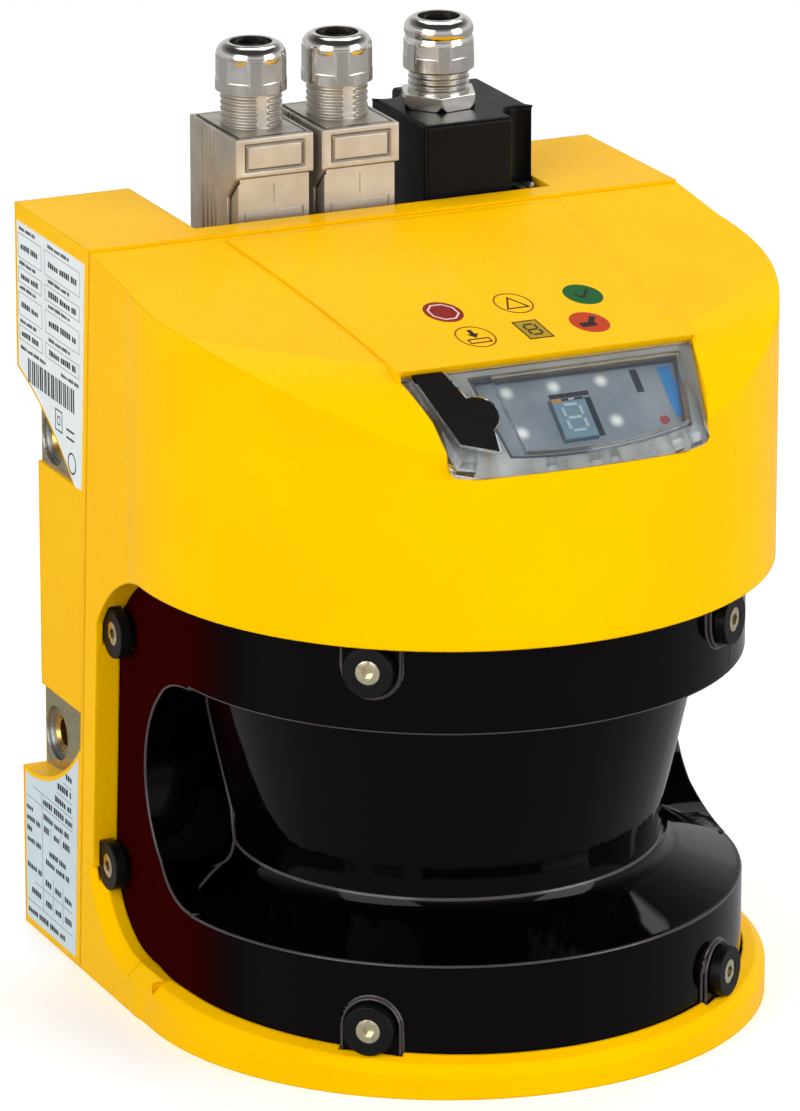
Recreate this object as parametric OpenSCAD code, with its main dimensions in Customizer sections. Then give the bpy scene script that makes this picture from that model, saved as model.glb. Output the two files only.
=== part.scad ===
// Safety laser scanner: a two-part cast housing with a dark one-piece front
// screen, a display window, three plug-in connectors with cable glands, and a
// spinning mirror inside. +X is to the right seen from the front, the front
// faces -Y and +Z is up. The origin is the middle of the base's underside.

/* [Housing] */
// Width across the housing's flat sides
body_w = 155; // [154:1:157]
// Height of the housing without the plugs
body_h = 185; // [184:1:187]
// Distance of the rear face behind the origin
rear_y = 80; // [79:1:82]
// Radius of the hood's rounded front wall
hood_r = 78.6; // [78:0.2:79]
// Radius of the base plate's rounded front
base_r = 77.5; // [77:0.5:78]
// Height of the hood's lower edge
hood_z = 111; // [110:0.5:112]
// Slope of the top panel, in degrees
panel_slope = 7.1; // [6.5:0.1:7.5]

/* [Front screen] */
// Outer radius of the screen's band and lower ring
screen_r = 71.6; // [71:0.1:72]
// Wall thickness of the screen
screen_t = 3; // [2.5:0.5:3]
// Cone radius under the band
cone_top_r = 60.5; // [60:0.5:61]
// Neck radius at the foot of the cone
neck_r = 52; // [51:0.5:53]

/* [Display window] */
// Width of the window at its upper edge
window_w = 74.8; // [73:0.2:75]
// Slope of the window's face, in degrees
window_slope = 39; // [38:0.5:40]
// Thickness of the clear cover
window_t = 4; // [3:0.5:4]

/* [Mirror drive] */
// Shaft radius
shaft_r = 2.5; // [2:0.5:3]
// Radial running clearance of the shaft in its bearings
shaft_gap = 0.05; // [0.03:0.01:0.08]
// Radius of the mirror carrier
carrier_r = 22; // [20:1:24]

/* [Connectors] */
// Height of the silver plugs' top face
plug_top = 204.8; // [203:0.2:206]
// Height of the black cover's top face
cover_top = 202.9; // [201:0.1:204]
// Across flats of the gland nuts
nut_af = 17; // [16:0.5:17]

/* [Hidden] */
$fn = 96;

yellow = "#FAC400";
black = "#17161A";
nickel = "#C9C6C0";
zinc = "#A79F90";
green = "#2E6B45";

axis_y = -2.5;              // mirror axis and centre of the rounded front
seam_top_y = 31.35;         // joint of the two housings at the top
seam_bottom_y = 43.6;       // and at the foot
joint_gap = 0.3;            // half of the visible joint
frame_t = 7.8;              // cast frame between the joint and the opening
far = 200;                  // length that clears the whole housing
wall = 5;                   // casting wall

function seam_y(z) = seam_bottom_y + (seam_top_y - seam_bottom_y) * z / body_h;
function panel_z(y) = body_h - (seam_top_y - y) * tan(panel_slope);

// Draws a (y, z) outline as a bar of width w along X, centred.
module along_x(w) {
    rotate([90, 0, 90]) linear_extrude(w, center = true) children();
}

// ---------------------------------------------------------------- plan forms
// Round front with sides that run back from just inside it.
side_inset = 0.7;           // how far the sides start inside the round front
module nose_plan(r, half_rear) {
    translate([0, axis_y]) rotate(60) circle(r = r);
    polygon([[side_inset - r, axis_y], [-half_rear, rear_y],
             [half_rear, rear_y], [r - side_inset, axis_y]]);
}

module side_plan(inset = 0) {
    front = hood_r - side_inset - inset;
    rear = body_w / 2 - 0.6 - inset;
    polygon([[-front, axis_y], [-rear, rear_y], [rear, rear_y], [front, axis_y]]);
}

module hood_plan(inset = 0) {
    nose_plan(hood_r - inset, body_w / 2 - inset - 0.6);
}

module screen_plan(grow = 0) {
    nose_plan(screen_r + grow, screen_r + grow - side_inset);
}

// ------------------------------------------------------------ top of the hood
tangent_y = -14;
top_r = 155;
top_drop = 0.5;
tangent_z = panel_z(tangent_y) - top_drop;
arc_y = tangent_y + top_r * sin(panel_slope);
arc_z = tangent_z - top_r * cos(panel_slope);
panel_half = 38;            // half width of the raised panel at the window
panel_flare = 5;            // how much wider it is near the joint
window_y = -57.2;           // upper edge of the window
panel_back_y = 28;

// Height of the crease that runs round the hood's wall.
function rim_z(y) = y > tangent_y
    ? panel_z(y) - top_drop
    : arc_z + sqrt(pow(top_r, 2) - pow(y - arc_y, 2));
function panel_x(y) = panel_half
    + panel_flare * pow(max(0, y - window_y) / (22 - window_y), 2);

// The hood's front shoulders are arcs extruded along lines turned in plan;
// distances u run forwards, square to those lines.
shoulder_turn = 22.8;
shoulder_r = 59.5;
shoulder_u = 39.04;         // centre of the arc
shoulder_z = 119.27;
shoulder_start = 45.67;     // where the arc leaves the flat top
module shoulder_outline() {
    start_z = shoulder_z + sqrt(pow(shoulder_r, 2) - pow(shoulder_start - shoulder_u, 2));
    rise = 0.25;
    intersection() {
        union() {
            translate([-shoulder_u, shoulder_z]) rotate(200) circle(r = shoulder_r, $fn = 180);
            polygon([[95, -1], [-90, -1], [-90, 139], [-shoulder_start - 8, 139],
                     [-shoulder_start - 8, start_z - 8 * rise],
                     [95, start_z + (shoulder_start + 95) * rise]]);
        }
        // steeper foot next to the window
        polygon([[96, -2], [-100, -2], [-100, 125.2], [-80.6, 159], [-40, 230.7], [96, 230.7]]);
    }
}

module under_hood_top() {
    intersection() {
        along_x(far) polygon([[60, panel_z(60) - top_drop], [-far, panel_z(-far) - top_drop],
                              [-far, -2], [60, -2]]);
        rotate(shoulder_turn) along_x(2 * far) shoulder_outline();
        rotate(-shoulder_turn) along_x(2 * far) shoulder_outline();
    }
}

// Half-space in front of the slanted joint, at the given distance from it.
module joint_front(gap) {
    along_x(far) polygon([
        [seam_y(-10) - gap, -10], [seam_y(200) - gap, 200],
        [-far, 200], [-far, -10]]);
}

module joint_back(gap) {
    along_x(far) polygon([
        [seam_y(-10) + gap, -10], [seam_y(200) + gap, 200],
        [far, 200], [far, -10]]);
}

// --------------------------------------------------------------- base and rim
rim_tilt = -2.6;            // the base's rim dips towards the nose
rim_edge_z = 8.9;           // rim height beside the mirror axis
opening_floor_z = 12;
corner_y = 12;              // centre of the opening's lower rear corner
corner_z = 34.2;
corner_r = 22;
split_z = 60;               // the base radius is trimmed below this height

// Trims the foot's round front to the base radius.
module base_trim() {
    reach = 14;
    translate([0, 0, -1]) linear_extrude(split_z) difference() {
        translate([-100, -100]) square([200, 100 + reach]);
        translate([0, axis_y]) rotate(60) circle(r = base_r);
        polygon([[0.5 - base_r, axis_y], [0.2 - hood_r, reach + 0.01], [0, reach + 1],
                 [hood_r - 0.2, reach + 0.01], [base_r - 0.5, axis_y]]);
    }
}

// Space above the rim, a steep chamfer outside and a softer slope inside. It
// is turned for the front half only and dips towards the nose.
module above_rim() {
    translate([0, axis_y, rim_edge_z]) rotate([-rim_tilt, 0, 0]) rotate(180)
        rotate_extrude(angle = 180, $fn = 180) polygon([
            [0, 5.1], [screen_r - 4, 5.1], [75.2, 2.3], [base_r, 0],
            [100, base_r - 100], [100, 60], [0, 60]]);
}

// Side view of the opening that the screen looks out of.
module opening_outline() {
    intersection() {
        polygon([[-far, 9], [seam_y(9) - frame_t, 9],
                 [seam_y(hood_z) - frame_t, hood_z], [-far, hood_z]]);
        union() {
            translate([-4, hood_z - 39.7]) circle(r = 40);
            translate([-far, 0]) square([far - 4, far]);
            translate([-far, 0]) square([far + 60, hood_z - 39.7]);
        }
        union() {
            translate([corner_y, corner_z]) circle(r = corner_r);
            translate([-far, opening_floor_z]) square([far + corner_y, far]);
            translate([-far, corner_z]) square([far + 60, far]);
        }
    }
}

// 45 degree chamfer that sweeps up the side wall from the rim.
module side_chamfer() {
    chamfer_in_x = 74.4;
    chamfer_reach = 3.4;
    intersection() {
        translate([chamfer_in_x, corner_y, corner_z]) rotate([0, 90, 0])
            cylinder(r1 = corner_r, r2 = corner_r + chamfer_reach + 1, h = 4.4);
        translate([70, corner_y, 0]) cube([20, 60, 29.5]);
    }
    // straight stretch between the corner and the round front
    translate([0, corner_y + 0.01, 0]) rotate([90, 0, 0])
        linear_extrude(corner_y - axis_y + 0.01) polygon([
            [chamfer_in_x, opening_floor_z], [chamfer_in_x + 4.4, opening_floor_z - 4.4],
            [far, opening_floor_z - 4.4], [far, opening_floor_z + 2],
            [chamfer_in_x, opening_floor_z + 2]]);
}

module mirrored_x() {
    children();
    mirror([1, 0, 0]) children();
}

// ------------------------------------------------------- screws of the screen
// Each entry: point on the axis side, height, direction in degrees from -Y.
front_angle = 39;
screen_fixings = [
    [axis_y, 104, front_angle], [axis_y, 104, -front_angle],
    [axis_y, 15.5, front_angle], [axis_y, 15.5, -front_angle],
    [25.1, 91.4, 90], [25.1, 91.4, -90],
    [29.8, 30.8, 90], [29.8, 30.8, -90]];
bush_r = 6.1;
bush_neck_r = 4;
bush_face = 75.6;           // distance of the bush's face from the centre
fixing_head_r = 2.9;
fixing_r = 2;
lug_in = 60;                // inner end of the threaded lugs
lug_out = screen_r - screen_t;

module at_fixings(which = screen_fixings) {
    for (s = which)
        translate([0, s[0], s[1]]) rotate([90, 0, s[2]]) children();
}

// ------------------------------------------------------------- front housing
// Local frame of the window: origin at the middle of its upper edge on the
// outer face, Y up the slope, Z out of the face.
module at_window() {
    translate([0, window_y, panel_z(window_y) - 0.6]) rotate([window_slope, 0, 0])
        children();
}

window_foot_half = 32.6;    // half width at the lower corners
window_side_v = 24.4;       // slope length of the straight sides
window_arc_r = 124;
window_len = 31;
function window_side(v) = window_w / 2
    - (window_w / 2 - window_foot_half) * v / window_side_v;

module window_outline(grow = 0) {
    intersection() {
        polygon([[-window_side(0) - grow, grow], [window_side(0) + grow, grow],
                 [window_side(32) + grow, -32], [-window_side(32) - grow, -32]]);
        translate([0, window_arc_r - window_len]) circle(r = window_arc_r + grow);
    }
}

module raised_panel() {
    n = 16;
    right = [for (i = [0 : n])
        let (y = panel_back_y + (window_y - panel_back_y) * i / n) [panel_x(y), y]];
    left = [for (i = [n : -1 : 0]) [-right[i].x, right[i].y]];
    foot = [[window_side(30) + 0.6, -82], [-window_side(30) - 0.6, -82]];
    intersection() {
        translate([0, 0, 140]) linear_extrude(60) polygon(concat(right, foot, left));
        translate([0, 0, 140]) linear_extrude(60) hood_plan();
        along_x(far) polygon([
            [panel_back_y, 140], [panel_back_y, panel_z(panel_back_y)],
            [window_y - 0.4, panel_z(window_y - 0.4)], [window_y - 0.4, 140]]);
    }
    // seat of the window, below the panel's front edge
    intersection() {
        translate([0, 0, 120]) linear_extrude(80) polygon(concat(right, foot, left));
        translate([0, 0, 120]) linear_extrude(80) hood_plan();
        at_window() translate([-60, -60, -39 - window_t]) cube([120, 62, 40]);
        translate([-60, -100, 120]) cube([120, 45, 60]);
    }
}

module hood_cavity() {
    intersection() {
        translate([0, 0, 118]) linear_extrude(70) hood_plan(wall);
        along_x(far) intersection() {
            translate([0, -6]) under_rim_outline();
            translate([-70, 100]) square([140, 90]);
        }
    }
}

// Side view of everything below the rim's straight and arched line.
module under_rim_outline() {
    polygon([[60, rim_z(60)], [tangent_y, rim_z(tangent_y)], [tangent_y, -1], [60, -1]]);
    intersection() {
        translate([arc_y, arc_z]) circle(r = top_r);
        translate([-far, -1]) square([far + tangent_y, far]);
    }
}

module front_lugs() {
    // threaded lugs behind the screen for its eight screws
    for (s = screen_fixings) {
        round_front = abs(s[2]) < 90;
        high = s[1] > 60;
        if (round_front)
            translate([0, s[0], 0]) rotate([0, 0, s[2]])
                translate([-8, -lug_out + 0.6, high ? s[1] - 7 : 4])
                    cube([16, lug_out - lug_in, high ? 116 - s[1] + 7 : s[1] + 3]);
        else
            translate([s[2] > 0 ? lug_in : side_inset - lug_out, s[0] - 7, s[1] - 7])
                cube([lug_out - side_inset - lug_in, 14, 14]);
    }
}

module front_housing() {
    color(yellow) difference() {
        union() {
            difference() {
                union() {
                    intersection() {
                        linear_extrude(far) hood_plan();
                        joint_front(joint_gap);
                        under_hood_top();
                    }
                    raised_panel();
                }
                along_x(far) opening_outline();
                base_trim();
                above_rim();
                mirrored_x() side_chamfer();
                // socket for the screen, from the base to under the hood
                intersection() {
                    translate([0, 0, 5]) linear_extrude(109) screen_plan(0.4);
                    joint_front(frame_t - 2);
                }
                // light passage from the screen into the hood
                translate([0, 0, 110]) linear_extrude(10) nose_plan(62, 62);
                hood_cavity();
                // window through the frame to the rear housing
                translate([-64, -10, 12]) cube([128, 80, 104]);
                window_pocket();
            }
            intersection() {
                front_lugs();
                joint_front(1);
            }
        }
        front_screw_holes();
        fixing_pockets();
    }
}

board_seat = -13.4;         // board's rear face under the window's face
gasket_t = 0.8;
// Recess under the cover: the lit field and the round of the cap's socket.
module field_plan(grow = 0) {
    intersection() {
        translate([0, 1.6]) window_outline(-3.2 + grow);
        polygon([[-21.2 - grow, 5], [40, 5], [40, -40], [-16 - grow, -40]]);
    }
}

module pocket_plan(grow = 0) {
    field_plan(grow);
    translate([cap_round_x, cap_round_v]) circle(r = 5 + grow, $fn = 48);
}

module window_pocket() {
    at_window() {
        // seat of the cover and its gasket
        translate([0, 0, -window_t - gasket_t]) linear_extrude(40) window_outline(0.15);
        // recess for the light tray, with a ledge for the board
        translate([0, 0, board_seat]) linear_extrude(13) pocket_plan();
        translate([0, 0, -30]) linear_extrude(31) pocket_plan(-2.4);
    }
}

// U-shaped clearances round the bushes, and the screws' threads.
module fixing_pockets() {
    at_fixings() {
        translate([0, 0, lug_in - 2]) cylinder(r = fixing_r, h = 20, $fn = 32);
        translate([0, 0, screen_r + 0.4]) cylinder(r = bush_r + 0.5, h = bush_face - screen_r - 0.2);
    }
    // room for the screen's flat pads in the rim and in the hood's edge
    for (s = screen_fixings) if (abs(s[2]) < 90)
        translate([0, s[0], s[1]]) rotate([90, 0, s[2]]) translate([0, 0, screen_r - 3])
            linear_extrude(4.4) square([2 * bush_r + 3.2, 17.6], center = true);
}

housing_screw_x = 67;
housing_screw_z = [12, 171];
housing_screw_r = 2.5;
screw_tip_y = [37.6, 24];   // ends of the low and high screws
module at_housing_screws(which = [0, 1]) {
    for (x = [-1, 1], i = which)
        translate([x * housing_screw_x, 0, housing_screw_z[i]]) children();
}

module front_screw_holes() {
    for (i = [0, 1]) at_housing_screws([i]) translate([0, screw_tip_y[i] - 0.5, 0])
        rotate([-90, 0, 0]) cylinder(r = housing_screw_r, h = 24, $fn = 32);
}

// -------------------------------------------------------------- rear housing
recess_half = 47;
recess_y = 39.3;
recess_floor = 150;
pocket_x = 71.7;            // floor of the side pockets
milled_x = 70.7;            // machined pads round the side threads
m8_y = 72.7;
m8_z = [50.5, 126.5];
m8_drill_r = 3.4;
insert_r = 5.2;
insert_len = 12;
m6_drill_r = 2.5;
m6_x = 59;
m6_z = [28, 138];
pillar_r = 7;
upper_arc = [109.2, 48.2, 100];   // y, z and radius of the upper label's edge
lower_arc = [78, 90, 49];         // and of the lower label's edge

// Side view of the pocket between the two label fields.
module pocket_outline() {
    intersection() {
        union() {
            translate([lower_arc[0], lower_arc[1]]) circle(r = lower_arc[2]);
            translate([0, lower_arc[1]]) square([100, 70]);
            translate([lower_arc[0], lower_arc[1] - lower_arc[2]]) square([20, 60]);
        }
        translate([upper_arc[0], upper_arc[1]]) circle(r = upper_arc[2]);
        polygon([[seam_y(20) + 1.6, 20], [100, 20], [100, 180], [seam_y(180) + 1.6, 180]]);
    }
}

module milled_outline() {
    intersection() {
        pocket_outline();
        union() {
            translate([46, 30]) square([60, 31.5]);
            translate([46, 119]) square([60, 40]);
        }
    }
}

module at_m8() {
    for (z = m8_z) mirrored_x() translate([milled_x, m8_y, z]) rotate([0, 90, 0]) children();
}

module at_m6() {
    for (x = [-m6_x, m6_x], z = m6_z) translate([x, rear_y, z]) rotate([-90, 0, 0]) children();
}

chamber_z = recess_floor - 1;   // floor of the chambers beside the recess
module rear_cavity() {
    difference() {
        union() {
            // electronics bay
            translate([-66, 20, 8]) cube([132, 54, recess_floor - 12]);
            // chambers either side of the plug recess
            mirrored_x() translate([recess_half + 4, 20, chamber_z])
                cube([72 - recess_half - 4, 54, 179 - chamber_z]);
        }
        at_housing_screws() translate([0, 100, 0]) rotate([90, 0, 0])
            cylinder(r = pillar_r, h = 90, $fn = 48);
        at_m8() translate([0, 0, -insert_len - 5.5]) cylinder(r = 9, h = 30, $fn = 48);
        at_m6() translate([0, 0, -14]) cylinder(r = 6.5, h = 20, $fn = 48);
    }
}

module rear_housing() {
    color(yellow) difference() {
        intersection() {
            linear_extrude(body_h) side_plan();
            joint_back(joint_gap);
            translate([-far / 2, -far, 0]) cube([far, far + rear_y, far]);
        }
        rear_cavity();
        // plug recess, open at the top and at the rear
        translate([-recess_half, recess_y, recess_floor])
            cube([2 * recess_half, far, far]);
        mirrored_x() {
            translate([pocket_x + 50, 0, 0]) along_x(100) pocket_outline();
            translate([milled_x + 50, 0, 0]) along_x(100) milled_outline();
        }
        at_m8() {
            translate([0, 0, -insert_len - 3.1]) cylinder(r1 = 0.5, r2 = insert_r, h = 3.1, $fn = 64);
            translate([0, 0, -insert_len]) cylinder(r = insert_r, h = 30, $fn = 64);
            translate([0, 0, -1.4]) cylinder(r = 6.8, h = 10, $fn = 64);
        }
        at_m6() translate([0, 0, -9]) cylinder(r = m6_drill_r, h = 20, $fn = 48);
        // housing screws: clearance and deep counterbore
        at_housing_screws() translate([0, 100, 0]) rotate([90, 0, 0]) {
            cylinder(r = 2.9, h = 90, $fn = 32);
            cylinder(r = 4.8, h = 100 - 54, $fn = 32);
        }
        // openings in the recess floor for the sockets
        for (x = socket_x)
            translate([x - 8, plug_y - 11, recess_floor - 10]) cube([16, 22, 20]);
        translate([socket_system_x - 12, system_y - 14, recess_floor - 10])
            cube([24, 28, 20]);
    }
}

// Thin gasket in the slanted joint, set back from the outer surface.
module housing_gasket() {
    color(black) difference() {
        intersection() {
            translate([0, 0, 1.2]) linear_extrude(body_h) side_plan(1.4);
            joint_front(-joint_gap);
            joint_back(-joint_gap);
            along_x(far) polygon([[60, panel_z(60) - 2.2], [20, panel_z(20) - 2.2],
                                  [20, -1], [60, -1]]);
        }
        translate([-63, 0, 16]) cube([126, 100, recess_floor - 24]);
        mirrored_x() translate([54, 0, chamber_z + 3]) cube([9, 100, 24]);
        at_housing_screws() translate([0, 100, 0]) rotate([90, 0, 0])
            cylinder(r = 3, h = 90, $fn = 32);
    }
}

module housing_screws() {
    color(nickel) for (i = [0, 1]) at_housing_screws([i]) difference() {
        union() {
            translate([0, 54, 0]) rotate([90, 0, 0])
                cylinder(r = housing_screw_r, h = 54 - screw_tip_y[i], $fn = 32);
            translate([0, 59, 0]) rotate([90, 0, 0]) cylinder(r = 4.25, h = 5, $fn = 32);
        }
        translate([0, 60, 0]) rotate([90, 0, 0]) cylinder(r = 2.3, h = 3.5, $fn = 6);
    }
}

module thread_inserts() {
    color("#B79A55") at_m8() translate([0, 0, -insert_len]) difference() {
        cylinder(r = insert_r, h = insert_len - 1.4, $fn = 64);
        translate([0, 0, -1]) cylinder(r = m8_drill_r, h = insert_len, $fn = 64);
        translate([0, 0, insert_len - 2.2]) cylinder(r1 = m8_drill_r, r2 = m8_drill_r + 0.8, h = 0.81, $fn = 64);
    }
}

label_t = 0.25;
side_taper = atan((hood_r - side_inset - body_w / 2 + 0.6) / (rear_y - axis_y));
module label_plate() {
    translate([side_inset - hood_r - label_t, axis_y, 0]) rotate([0, 0, -side_taper])
        translate([0, -axis_y, 0]) rotate([90, 0, 90]) linear_extrude(label_t) children();
}

// Both labels follow their raised fields, 1.2 mm in from the edge.
module upper_label() {
    color("#DFE5E6") label_plate() difference() {
        polygon([[seam_y(124) + 2.6, 124], [seam_y(181) + 2.6, 181],
                 [78, 181], [78, 120]]);
        translate([upper_arc[0], upper_arc[1]]) circle(r = upper_arc[2] + 1.2);
    }
}

module lower_label() {
    color("#C9D9DF") label_plate() difference() {
        polygon([[seam_y(2) + 2.6, 2], [seam_y(60) + 2.6, 60], [78, 60], [78, 2]]);
        translate([lower_arc[0], lower_arc[1]]) circle(r = lower_arc[2] + 1.2);
        translate([lower_arc[0], lower_arc[1] - lower_arc[2] - 1.2]) square([10, 60]);
    }
}

// -------------------------------------------------------------- front screen
band_z = 88.5;
cone_top_z = 86;
cone_foot_z = 47;
ring_in_z = 36.5;
ring_out_z = 31;
slot_r = 28;                // end radius of the recess in the side view
slot_y = -11.5;
slot_z = 59.5;
ring_fillet = 4;
screen_top = 112.4;
screen_foot = 6.2;

// Turned form round the mirror axis: neck, cone and the slope of the lower
// ring. Walls are measured inwards by t.
module cone_profile(t) {
    difference() {
        polygon([[0, screen_foot - 5], [screen_r + 5, screen_foot - 5],
                 [screen_r + 5, ring_out_z - t],
                 [screen_r - 1.5, ring_out_z + 0.3 - t],
                 [neck_r + ring_fillet - t, ring_in_z - t + 0.4],
                 [neck_r - t, ring_in_z + ring_fillet - t * 0.5],
                 [neck_r - t, cone_foot_z - t * 0.1],
                 [cone_top_r - t, cone_top_z + t],
                 [screen_r + 5, band_z + 0.8 + t], [screen_r + 5, screen_top + 5],
                 [0, screen_top + 5]]);
        // soft foot of the neck
        translate([neck_r - t + ring_fillet + 1, ring_in_z + ring_fillet + 1.2 - t * 0.6])
            circle(r = ring_fillet + 1, $fn = 48);
    }
}

// Space in front of and beside the cone, cut into the screen's outer form.
module light_recess(t) {
    difference() {
        along_x(far) {
            translate([slot_y, slot_z]) circle(r = slot_r + t);
            translate([-far, ring_out_z - 3 - t])
                square([far + slot_y, band_z - ring_out_z + 6 + 2 * t]);
        }
        translate([0, axis_y, 0]) rotate(60) rotate_extrude($fn = 180) cone_profile(t);
    }
}

module screen_solid(t) {
    difference() {
        translate([0, 0, screen_foot - (t > 0 ? 2 : 0)])
            linear_extrude(screen_top - screen_foot + (t > 0 ? 4 : 0)) screen_plan(-t);
        light_recess(t);
    }
}

module front_screen() {
    color("#100D12") difference() {
        union() {
            intersection() {
                difference() {
                    screen_solid(0);
                    screen_solid(screen_t);
                }
                joint_front(frame_t - 1.8);
            }
            // flat pads under the bushes of the rounded front
            for (s = screen_fixings) if (abs(s[2]) < 90)
                translate([0, s[0], s[1]]) rotate([90, 0, s[2]]) intersection() {
                    translate([0, 0, screen_r - 2.4]) linear_extrude(3.4) union() {
                        circle(r = bush_r + 1.2);
                        translate([-bush_r - 1.2, s[1] > 60 ? 0 : -8.4])
                            square([2 * bush_r + 2.4, 8.3]);
                    }
                }
        }
        at_fixings() translate([0, 0, lug_in]) cylinder(r = bush_neck_r, h = 20, $fn = 48);
    }
}

module screen_seal() {
    color("#26262A") difference() {
        intersection() {
            union() {
                translate([0, 0, 5]) linear_extrude(screen_foot - 5) screen_plan(0);
                translate([0, 0, screen_top]) linear_extrude(114 - screen_top) screen_plan(0);
            }
            joint_front(frame_t - 1.8);
        }
        translate([0, 0, 0]) linear_extrude(200) nose_plan(screen_r - screen_t, screen_r - screen_t);
    }
}

module screen_bushes() {
    color("#141417") for (s = screen_fixings) at_fixings([s]) difference() {
        union() {
            translate([0, 0, lug_out - (abs(s[2]) < 90 ? 0 : side_inset)])
                cylinder(r = bush_neck_r, h = 6, $fn = 48);
            translate([0, 0, screen_r + 1]) cylinder(r = bush_r, h = bush_face - screen_r - 1, $fn = 64);
        }
        translate([0, 0, lug_in]) cylinder(r = fixing_r, h = 30, $fn = 32);
        translate([0, 0, bush_face - 2.4]) cylinder(r = fixing_head_r, h = 5, $fn = 48);
    }
}

module screen_screws() {
    color("#B9A468") at_fixings() difference() {
        union() {
            translate([0, 0, lug_in]) cylinder(r = fixing_r, h = 13.4, $fn = 32);
            translate([0, 0, bush_face - 2.4]) cylinder(r = fixing_head_r, h = 2.2, $fn = 48);
        }
        translate([0, 0, bush_face - 1.9]) cylinder(r = 1.5, h = 3, $fn = 6);
    }
}

// ------------------------------------------------------------ display window
cap_hinge_v = -0.9;         // upper end of the rubber cap, down the slope
cap_gap = 0.3;

// Rubber cap's outline in the window's frame: a strap along the left edge
// with a round stopper and a pointed pull tab.
module cap_outline(grow = 0) {
    polygon([[-34.4 - grow, cap_hinge_v + grow], [-26.8 + grow, cap_hinge_v + grow],
             [-23.6 + grow, -9], [cap_round_x, cap_round_v], [-20.2 + grow, -18.6],
             [-20.8 + grow, -24 - grow], [-29.2 - grow, -20.6 - grow]]);
    translate([cap_round_x, cap_round_v]) circle(r = cap_round_r + grow, $fn = 48);
}

cap_round_x = -22.4;
cap_round_v = -13.4;
cap_round_r = 4.9;
stub_r = 3.2;
cap_t = 1.6;

module display_window() {
    color("#C6CDD1", 0.45) at_window() difference() {
        union() {
            translate([0, 0, -window_t]) linear_extrude(window_t - 1.6) window_outline();
            hull() {
                translate([0, 0, -1.61]) linear_extrude(0.01) window_outline();
                translate([0, 0, -0.01]) linear_extrude(0.01) window_outline(-1.5);
            }
        }
        // bay for the rubber cap and the passage to its socket
        translate([0, 0, -cap_t - 0.4]) linear_extrude(4) cap_outline(cap_gap);
        translate([-34.7, -3, -cap_t - 0.4]) cube([8.2, 6, 4]);
        translate([cap_round_x, cap_round_v, -window_t - 1]) cylinder(r = 5, h = 6, $fn = 48);
        // light chamber behind the clear face
        translate([0, 0, -window_t - 1]) linear_extrude(window_t - 0.6) intersection() {
            translate([0, 1.6]) window_outline(-4.2);
            polygon([[-15.8, 5], [40, 5], [40, -40], [-13, -40]]);
        }
    }
}

module window_gasket() {
    color("#26262A") at_window() difference() {
        translate([0, 0, -window_t - gasket_t]) linear_extrude(gasket_t) window_outline(-0.2);
        translate([0, 0, -window_t - 2]) linear_extrude(4) pocket_plan();
    }
}

module display_board() {
    color(green) at_window() translate([0, 0, board_seat]) difference() {
        linear_extrude(1.6) field_plan(-0.3);
        translate([cap_round_x, cap_round_v, -1]) cylinder(r = 4.6, h = 4, $fn = 48);
    }
}

// Grey tray that spreads the light, with windows for the digit and the socket.
tray_floor = -7.5;
module light_tray() {
    color("#8C949B") at_window() difference() {
        translate([0, 0, board_seat + 1.6])
            linear_extrude(-window_t - gasket_t - board_seat - 1.6) field_plan(-0.2);
        translate([0, 0, tray_floor + 1.2]) linear_extrude(10) field_plan(-1.2);
        translate([0, 0, board_seat]) linear_extrude(tray_floor - board_seat) field_plan(-1.2);
        translate([digit_x - 4.5, digit_v - 5.9, -20]) cube([9, 11.8, 30]);
        translate([cap_round_x, cap_round_v, -20]) cylinder(r = 4.6, h = 30, $fn = 48);
    }
}

led_places = [[-10.6, -5.8], [1.4, -5.8], [13.5, -5.8], [-10.6, -16.5], [13.4, -16.5]];
module status_leds() {
    color("#F2F2EA") at_window() for (p = led_places)
        translate([p.x, p.y, -window_t - 7.8]) {
            cylinder(r = 1.9, h = 2.4, $fn = 32);
            intersection() {
                translate([0, 0, 2.4]) sphere(r = 1.9, $fn = 32);
                translate([-3, -3, 2.3]) cube([6, 6, 3]);
            }
        }
}

digit_x = 3;
digit_v = -14.8;
module digit_display() {
    color("#7F98A4") at_window() translate([digit_x, digit_v, -window_t - 7.8]) {
        translate([-4.2, -5.6, 0]) cube([8.4, 11.2, 6.6]);
        // raised segments
        for (s = [[0, 3.6, 3.4, 0.8], [0, 0, 3.4, 0.8], [0, -3.6, 3.4, 0.8],
                  [-2.2, 1.8, 0.8, 2.6], [2.2, 1.8, 0.8, 2.6],
                  [-2.2, -1.8, 0.8, 2.6], [2.2, -1.8, 0.8, 2.6]])
            translate([s[0] - s[2] / 2, s[1] - s[3] / 2, 6.5]) cube([s[2], s[3], 0.3]);
    }
}

module config_socket() {
    color(nickel) at_window() translate([cap_round_x, cap_round_v, board_seat]) difference() {
        cylinder(r = 4.2, h = -window_t + 1 - board_seat, $fn = 64);
        translate([0, 0, 3]) cylinder(r = stub_r + 0.3, h = 12, $fn = 64);
    }
}

module port_cap() {
    color(black) at_window() {
        translate([0, 0, -cap_t - 0.1]) linear_extrude(cap_t) cap_outline();
        // rounded end that turns against the window's rim
        translate([-34.2, cap_hinge_v, -cap_t / 2 - 0.1]) rotate([0, 90, 0])
            cylinder(r = cap_t / 2 - 0.03, h = 7.2, $fn = 48);
        // short stopper that only enters the socket's mouth
        translate([cap_round_x, cap_round_v, -window_t + 0.4])
            cylinder(r = stub_r, h = window_t - 1.8, $fn = 64);
    }
}

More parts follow.
